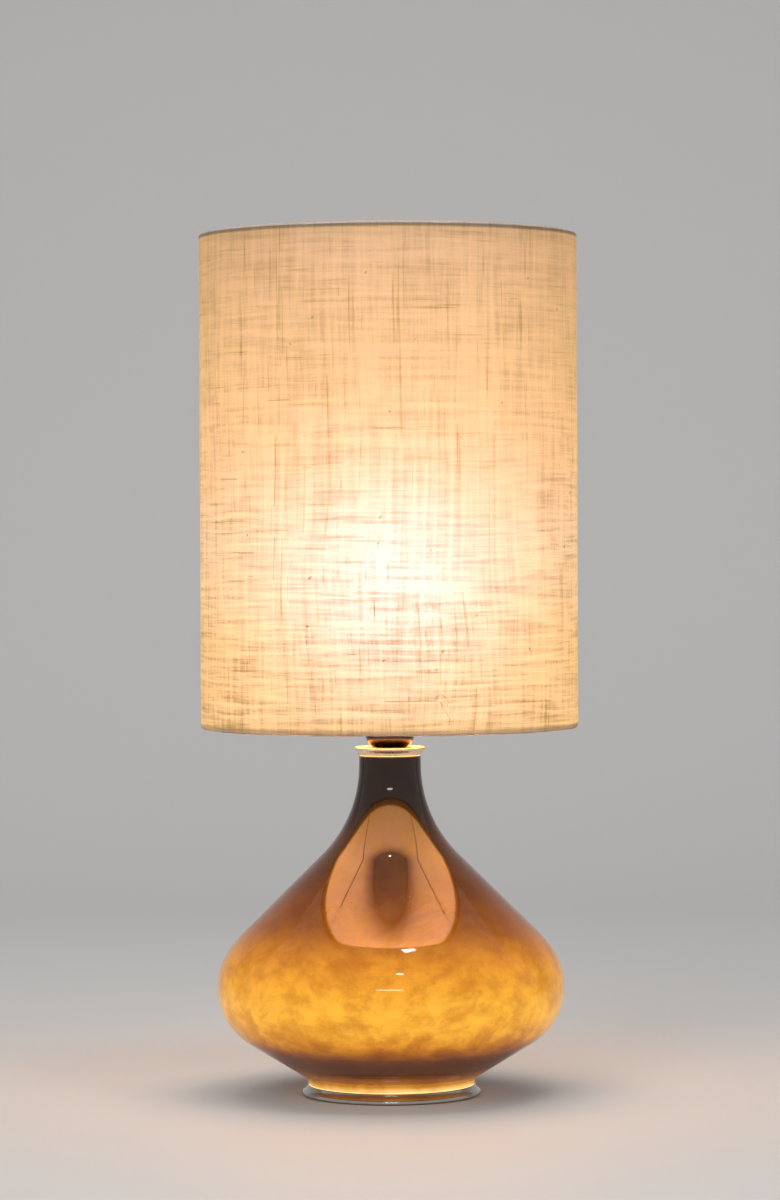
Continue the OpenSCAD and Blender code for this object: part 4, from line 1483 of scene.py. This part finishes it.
@dataclass
class Shade:
    """Drum shade: linen cover rolled round two wires over a stiff lining.

    Args:
        palette: the finishes.
        cloth: thickness of the linen, in metres, as all lengths here.
        wire: radius of the wires.
        slack: gap between the wire and the linen rolled round it.
        strip: height of the linen turned in past the wire.
        wrap: how far round the wire the linen goes, in half turns.
        apart: gap kept between linen and lining.
        card: thickness of the lining.
        start: distance from a wire's middle to where the linen's inner face starts.
        skin: how far under the outer face the linen's waves reach.
        fade: depth over which they fade out.
        frill: height over which the waves of the rolled edges fade out.
        swell: how far the linen stands out from the drum on average.
        waves: slow waves of the linen: depth, number around, start and slant.
        rolls: waves of its rolled edges, the same way.
        lifts: waves that carry those edges up and down, the same way.
        around: steps around the cover.
        rows: steps up its outer face.
        seam_angle: compass angle of the lapped seam, in degrees.
        seam_width: width of the seam's lap.
        seam_proud: thickness of the lap.
        seam_rise: width over which the lap's edge rises.
        slubs: the thick places of the yarn.
        seed: seed of everything that is random.
        crease: angle above which the cover's edges stay sharp, in degrees.
        back_rows: steps up the cover's inner face.
        card_around: steps around the lining.
        card_rows: steps up it.
        extras: the cover's threads, as they are made.
    """

    palette: Palette
    cloth: float = 0.0008
    wire: float = 0.0014
    slack: float = 0.00005
    strip: float = 0.008
    wrap: float = 1.1
    apart: float = 0.00012
    card: float = 0.0006
    start: float = 0.0015
    skin: float = 0.0006
    fade: float = 0.0005
    frill: float = 0.004
    swell: float = 0.00014
    waves: Waves = ((0.00010, 3, 1.1, 9), (0.00008, 7, 2.0, -14), (0.00006, 19, 0.4, 31))
    rolls: Waves = ((0.00016, 23, 0.7, 0), (0.00012, 57, 2.9, 0), (0.00008, 131, 0.0, 0))
    lifts: Waves = ((0.00018, 11, 0.5, 0), (0.00012, 37, 1.9, 0))
    around: int = 432
    rows: int = 60
    seam_angle: float = 110.0
    seam_width: float = 0.015
    seam_proud: float = 0.0005
    seam_rise: float = 0.0004
    slubs: Sequence[Slubs] = (
        Slubs("weft_slubs", 150, 0.0, 0.03, 0.00019, 1),
        Slubs("warp_slubs", 170, math.pi / 2, 0.042, 0.00019, 2),
        Slubs("knots", 90, 0.8, 0.0022, 0.00055, 3),
    )
    seed: int = 11
    crease: float = 50.0
    back_rows: int = 14
    card_around: int = 360
    card_rows: int = 8
    extras: list[bpy.types.Object] = field(default_factory=list)

    def __post_init__(self) -> None:
        """Takes the drum's size from the frame."""
        self.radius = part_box("shade_liner")[1].x + self.cloth
        low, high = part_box("shade_fabric")
        self.low, self.high = low.z, high.z
        self.roll = self.wire + self.slack + self.cloth
        self.circle = self.radius - self.roll

    def build(self) -> None:
        """Makes the cover, its loose threads and the lining."""
        self._lining()
        cover = self._cover()
        for kind in self.slubs:
            self._slub(kind)
        self._fuzz()
        self._loop()
        length = self.high - self.low + 2 * (self.strip + self.wrap * math.pi * self.roll)
        flat = (TURN * self.radius + self.seam_width, length)

    def _edge(self, height: float, way: int) -> list[Point]:
        """Section of the linen rolled round a wire.

        Args:
            height: height of the wire.
            way: 1 where the shade's inside lies above the wire, -1 where it lies below.

        Returns:
            The corners, from the linen's outer face to its inner one.
        """
        inner = self.radius - self.cloth + self.apart
        tucked = inner - self.card - 2 * self.apart
        back = tucked - self.cloth
        bore = self.wire + self.slack
        reach = self.roll + self.strip
        section = [
            *arc((self.circle, 0.0), self.roll, 0, -270, 26)[:-1],
            (back, self.roll * 0.9),
            *line((back, self.roll * 0.9), (back, reach), 5),
            (back, reach),
            (tucked, reach),
            *line((tucked, reach), (tucked, bore * 0.8), 5),
            *arc((self.circle, 0.0), bore, 58, 350, 16),
            (inner, self.start),
        ]
        return [(r, height + way * z) for r, z in section]

    @staticmethod
    def _sum(waves: Waves, theta: np.ndarray, z: np.ndarray) -> np.ndarray:
        """Sum of sine waves over the drum.

        Args:
            waves: depth, number around, start and slant of each.
            theta: angles around the drum, one to a row.
            z: heights, one to a column.

        Returns:
            The sum for each angle and height.
        """
        return sum(
            depth * np.sin(count * theta + start + slant * z)
            for depth, count, start, slant in waves
        )

    def _cover(self) -> bpy.types.Object:
        """Makes the linen cover with its hems and seam.

        Returns:
            The cover.
        """
        below, above = self.low + self.roll, self.high - self.roll
        inner = self.radius - self.cloth + self.apart
        face = line((self.radius, above), (self.radius, below), self.rows)
        back = line((inner, below + self.start), (inner, above - self.start), self.back_rows)
        section = [*self._edge(above, -1)[::-1], *face, *self._edge(below, 1), *back]
        radius, height = np.array(section).T
        half = self.seam_width / 2 / self.radius
        middle = math.radians(self.seam_angle)
        step = self.seam_rise / self.radius
        extra = [middle + side * (half + k * step) for side in (-1, 1) for k in (-1, 0, 1)]
        turn = np.unique(np.concatenate([np.arange(self.around) * TURN / self.around, extra]))
        outer = np.clip((radius - (self.radius - self.skin)) / self.fade, 0, 1)[None, :]
        from_edge = np.minimum(height - self.low, self.high - height)
        hem = np.clip(1 - from_edge / self.frill, 0, 1)[None, :]
        theta, z = turn[:, None], height[None, :]
        waves = self._sum(self.waves, theta, z) + self.swell
        lap = np.clip((half + step / 2 - np.abs(theta - middle)) / step, 0, 1) * self.seam_proud
        rolled = hem * self._sum(self.rolls, theta, z) * outer
        reach = radius[None, :] + outer * (waves + lap) + rolled
        lift = hem * self._sum(self.lifts, theta, z)
        points = np.stack([np.cos(theta) * reach, np.sin(theta) * reach, z + lift], -1)
        faces = wrapped_faces(len(turn), len(section))
        cover = skinned("linen_cover", points.reshape(-1, 3), faces, self.crease)
        return ready(cover, self.palette["linen"], Body.SHADE, ["shade_fabric"])

    def _lining(self) -> None:
        """Makes the stiff lining."""
        low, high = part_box("shade_liner")
        outer = self.radius - self.cloth
        inner = outer - self.card
        rows = line((outer, low.z), (outer, high.z), self.card_rows)
        outline = [(inner, low.z), (outer, low.z), *rows, (outer, high.z), (inner, high.z)]
        lining = lathed("shade_lining", outline, self.card_around)
        ready(lining, self.palette["liner"], Body.SHADE, ["shade_liner"])

    @staticmethod
    def _wrap(tree: Growth, flat: Signal) -> Signal:
        """Bends a flat layout round the drum: across, up and out from the cloth.

        Args:
            tree: the tree.
            flat: the layout.

        Returns:
            The bent layout.
        """
        across, up, out = tree.split(tree.step("GeometryNodeInputPosition", {}, {}))
        reach = tree.given("Radius") + out
        turn = across / tree.given("Radius")
        place = tree.join(turn.cosine() * reach, turn.sine() * reach, up + tree.given("Low"))
        return tree.step("GeometryNodeSetPosition", {}, {"Geometry": flat, "Position": place})

    def _sizes(self, **more: float) -> dict[str, float]:
        """Named inputs that every tree on the drum has."""
        return {"Radius": self.radius, "Low": self.low, "Height": self.high - self.low, **more}

    def _slub(self, kind: Slubs) -> None:
        """Makes thick places of the yarn, as low relief on the cloth.

        Args:
            kind: which ones.
        """
        sizes = {"Count": kind.count, "Lean": kind.lean, "Length": kind.length}
        sizes = self._sizes(**sizes, Thickness=kind.thickness, Flatness=kind.flatness)
        tree = Growth(kind.name, sizes)
        seed = self.seed + 10 * kind.salt
        # The longest is 1.52 times the common length, and half of that stays clear of the edges.
        margin = 0.005 + 0.76 * kind.length * math.sin(kind.lean)
        up = tree.chance(margin, self.high - self.low - margin, seed + 1)
        ends = {"Start": (-0.5, 0, 0), "End": (0.5, 0, 0)}
        straight = tree.step("GeometryNodeCurvePrimitiveLine", {}, ends)
        fine = tree.step("GeometryNodeResampleCurve", {}, {"Curve": straight, "Count": 12})
        along = tree.step("GeometryNodeSplineParameter", {}, {})
        taper = 1.0 - (along * 2.0 - 1.0).size() ** 2.5
        strand = tree.tube(fine, 1.0, 5, taper.at_least(0.06))
        thick = tree.given("Thickness") * tree.chance(0.45, 1.25, seed + 2)
        length = tree.given("Length") * tree.chance(0.2, 1.3, seed + 3) ** 1.6
        scale = tree.join(length, thick * tree.given("Flatness"), thick)
        turned = tree.join(0.0, 0.0, tree.given("Lean") + tree.chance(-0.05, 0.05, seed + 4))
        self._scatter(tree, (seed, up, -0.00004), strand, turned, scale, SLUB)

    def _fuzz(self) -> None:
        """Makes loose fibre ends that stand off the cloth, most of them at its edges."""
        tree = Growth("fibre_ends", self._sizes(Count=1100, Length=0.0021, Thickness=0.00004))
        seed = self.seed + 100
        share = tree.chance(-1.0, 1.0, seed)
        up = (share * share.size() ** 0.25 * 0.5 + 0.5) * tree.given("Height")
        bend = {"Start": (0, 0, -0.02), "Middle": (0.3, 0.25, 0.7), "End": (1.0, -0.35, 0.3)}
        sockets = {"Resolution": 7, **bend}
        hair = tree.step("GeometryNodeCurveQuadraticBezier", {}, sockets)
        strand = tree.tube(hair, tree.given("Thickness") / tree.given("Length"), 3)
        size = tree.given("Length") * tree.chance(0.25, 1.4, seed + 2)
        turned = tree.join(tree.chance(-0.5, 0.5, seed + 3), 0.0, tree.chance(0.0, TURN, seed + 4))
        self._scatter(tree, (seed + 1, up, 0.0), strand, turned, tree.join(size, size, size), FIBRE)

    def _scatter(
        self,
        tree: Growth,
        spot: tuple[int, Signal, float],
        strand: Signal,
        turned: Signal,
        scale: Signal,
        yarn: Linen,
    ) -> None:
        """Sets strands all over the drum and hands them over.

        Args:
            tree: the tree, with the input Count.
            spot: seed of their places across, their height, and how far out they sit.
            strand: one strand, at the origin.
            turned: how each is turned, in radians.
            scale: size of each.
            yarn: their finish.
        """
        across = tree.chance(0.0, TURN * self.radius, spot[0])
        sockets = {"Count": tree.given("Count"), "Position": tree.join(across, *spot[1:])}
        spots = tree.step("GeometryNodePoints", {}, sockets)
        sockets = {"Points": spots, "Instance": strand, "Rotation": turned, "Scale": scale}
        flat = tree.step("GeometryNodeInstanceOnPoints", {}, sockets)
        real = tree.step("GeometryNodeRealizeInstances", {}, {0: flat})
        self._add(tree.grown(self._wrap(tree, real), yarn.made()))

    def _loop(self) -> None:
        """Makes one pulled thread that lies in a loop on the cloth, low at the front."""
        front = -0.25 * TURN * self.radius
        way = (
            *((-0.004, 0.0272), (0.012, 0.0266), (0.026, 0.0271), (0.0345, 0.0272)),
            *((0.0362, 0.0301), (0.0393, 0.0315), (0.043, 0.0298), (0.0452, 0.026)),
            *((0.0436, 0.0228), (0.041, 0.0236), (0.0392, 0.0262), (0.0405, 0.0222)),
            *((0.0438, 0.0175), (0.0464, 0.0125), (0.0456, 0.0085)),
        )
        mesh = bpy.data.meshes.new("pulled_thread_base")
        points = [(front + x, z, 0.0004) for x, z in way]
        mesh.from_pydata(points, [(i, i + 1) for i in range(len(points) - 1)], [])
        tree = Growth("pulled_thread", self._sizes(Thickness=0.00026))
        curve = tree.step("GeometryNodeMeshToCurve", {}, {"Mesh": tree.given("Geometry")})
        smooth = {"spline_type": "CATMULL_ROM"}
        soft = tree.step("GeometryNodeCurveSplineType", smooth, {"Curve": curve})
        fine = tree.step("GeometryNodeResampleCurve", {}, {"Curve": soft, "Count": 110})
        strand = tree.tube(fine, tree.given("Thickness"), 6)
        self._add(tree.grown(self._wrap(tree, strand), SLUB.made(), mesh))

    def _add(self, piece: bpy.types.Object) -> None:
        """Hands over some of the cover's threads."""
        piece.data.shade_smooth()
        self.extras.append(ready(piece, None, Body.SHADE))


# ---- the studio ----


@dataclass(frozen=True)
class Lamp:
    """One large soft studio light.

    Args:
        name: its name.
        place: where it stands, in metres.
        size: width of its face, in metres.
        power: power, in watts.
        mirrored: whether polished surfaces show it.
        tall: height of its face over its width.
    """

    name: str
    place: Place
    size: float
    power: float
    mirrored: bool = False
    tall: float = 1.0

    def build(self, aim: Vector) -> None:
        """Makes the light.

        Args:
            aim: the point that it is turned to.
        """
        light = bpy.data.lights.new(self.name, "AREA")
        light.shape, light.size, light.energy = "RECTANGLE", self.size, self.power
        light.size_y = self.size * self.tall
        stand = bpy.data.objects.new(self.name, light)
        stand.location = self.place
        stand.rotation_euler = (aim - Vector(self.place)).to_track_quat("-Z", "Y").to_euler()
        stand.visible_camera, stand.visible_glossy = False, self.mirrored
        bpy.context.scene.collection.objects.link(stand)


@dataclass(frozen=True)
class BulbLight:
    """Light of the lit bulb: a soft ball that shows only through the shade's layers.

    Args:
        colour: colour of the light.
        power: power, in watts.
        radius: radius of the ball, in metres.
        height: height of its middle, in metres.
    """

    colour: Colour = (0.33, 0.43, 1.0)
    power: float = 12.0
    radius: float = 0.06
    height: float = 0.404

    def build(self) -> None:
        """Makes the light and hides it from everything but light that comes through."""
        light = bpy.data.lights.new("bulb_light", "POINT")
        light.color, light.energy, light.shadow_soft_size = self.colour, self.power, self.radius
        ball = bpy.data.objects.new("bulb_light", light)
        ball.location = (0.0, 0.0, self.height)
        ball.visible_camera = ball.visible_diffuse = ball.visible_glossy = False
        bpy.context.scene.collection.objects.link(ball)


@dataclass
class Studio:
    """Pale floor and wall in one sweep, soft lights and the camera.

    Args:
        world: colour and strength of the light from all round.
        lamps: the studio's lights.
        aim: height of the point that they are turned to, in metres, as all lengths here.
        wall: how far behind the lamp the wall stands.
        bend: radius of the sweep from floor to wall.
        top: height of the wall.
        half: half the width of floor and wall, and how far the floor comes forward.
        eye: the camera's place.
        lens: focal length, in millimetres, as the sensor's size.
        sensor: height of the sensor.
        tilt: how far the camera looks down, in degrees.
        roll: how far it leans, in degrees.
        swing: how far it looks to the left, in degrees.
    """

    world: Colour = PALE
    lamps: Sequence[Lamp] = (
        Lamp("key", (-1.5, -3.0, 2.0), 2.2, 70.0),
        Lamp("fill", (2.2, -2.6, 1.5), 2.2, 38.0),
        Lamp("top", (0.0, 0.2, 3.0), 2.4, 40.0),
        Lamp("glint_above", (0.42, -0.62, 3.0), 0.3, 5.0, True, 0.6),
        Lamp("glint_over", (-0.03, -0.43, 3.0), 0.1, 0.9, True, 0.6),
        Lamp("glint_window", (0.25, -2.0, 2.2), 0.2, 1.6, True, 0.6),
        Lamp("glint_ahead", (-0.05, -3.2, 1.2), 1.0, 3.4, True, 0.08),
    )
    aim: float = 0.35
    wall: float = 3.0
    bend: float = 1.4
    top: float = 5.0
    half: float = 6.0
    eye: Place = (0.0, -3.36, 0.45)
    lens: float = 126.54
    sensor: float = 36.0
    tilt: float = 0.951
    roll: float = -0.28
    swing: float = -0.011

    def build(self) -> None:
        """Makes everything that isn't the lamp."""
        self._sweep()
        self._light()
        self._camera()

    def _sweep(self) -> None:
        """Makes the floor, which runs up into the wall."""
        foot = self.wall - self.bend
        rise = arc((foot, self.bend), self.bend, -90, 0, 16)[1:]
        floor = [(-self.half, 0.0), (-self.half / 3, 0.0), (foot, 0.0)]
        profile = [*floor, *rise, (self.wall, self.top)]
        points = [(x, y, z) for x in (-self.half, self.half) for y, z in profile]
        count = len(profile)
        faces = [(i, i + 1, count + i + 1, count + i) for i in range(count - 1)]
        mesh = bpy.data.meshes.new("studio_sweep")
        mesh.from_pydata(points, [], faces)
        mesh.flip_normals()
        mesh.shade_smooth()
        mesh.materials.append(StudioPaint("studio_paint").made())
        placed("studio_sweep", mesh)

    def _light(self) -> None:
        """Makes the lights and the world."""
        for lamp in self.lamps:
            lamp.build(Vector((0.0, 0.0, self.aim)))
        BulbLight().build()
        world = bpy.data.worlds.new("studio_air")
        world.use_nodes = True
        air = world.node_tree.nodes["Background"].inputs
        air["Color"].default_value, air["Strength"].default_value = (*self.world, 1.0), 1.0
        bpy.context.scene.world = world
        bpy.context.scene.view_settings.view_transform = "Standard"

    def _camera(self) -> None:
        """Makes the camera."""
        data = bpy.data.cameras.new("camera")
        data.sensor_fit, data.sensor_height = "VERTICAL", self.sensor
        data.sensor_width = self.sensor
        data.lens, data.clip_end = self.lens, 10 * self.half
        camera = bpy.data.objects.new("camera", data)
        facing = Euler((math.radians(90 - self.tilt), 0.0, math.radians(self.swing))).to_matrix()
        lean = Euler((0.0, 0.0, math.radians(self.roll))).to_matrix()
        camera.matrix_world = (facing @ lean).to_4x4()
        camera.location = self.eye
        bpy.context.scene.collection.objects.link(camera)
        bpy.context.scene.camera = camera


def main() -> None:
    """Builds the lamp and the studio in order."""
    logging.basicConfig(level=logging.INFO, format="%(message)s")
    palette = Palette()
    palette.dress_frame()
    for part in (Foot(palette), GlassBody(palette), Fittings(palette), Shade(palette), Studio()):
        part.build()
        log.info("%s is ready", type(part).__name__)


if __name__ == "__main__":
    main()
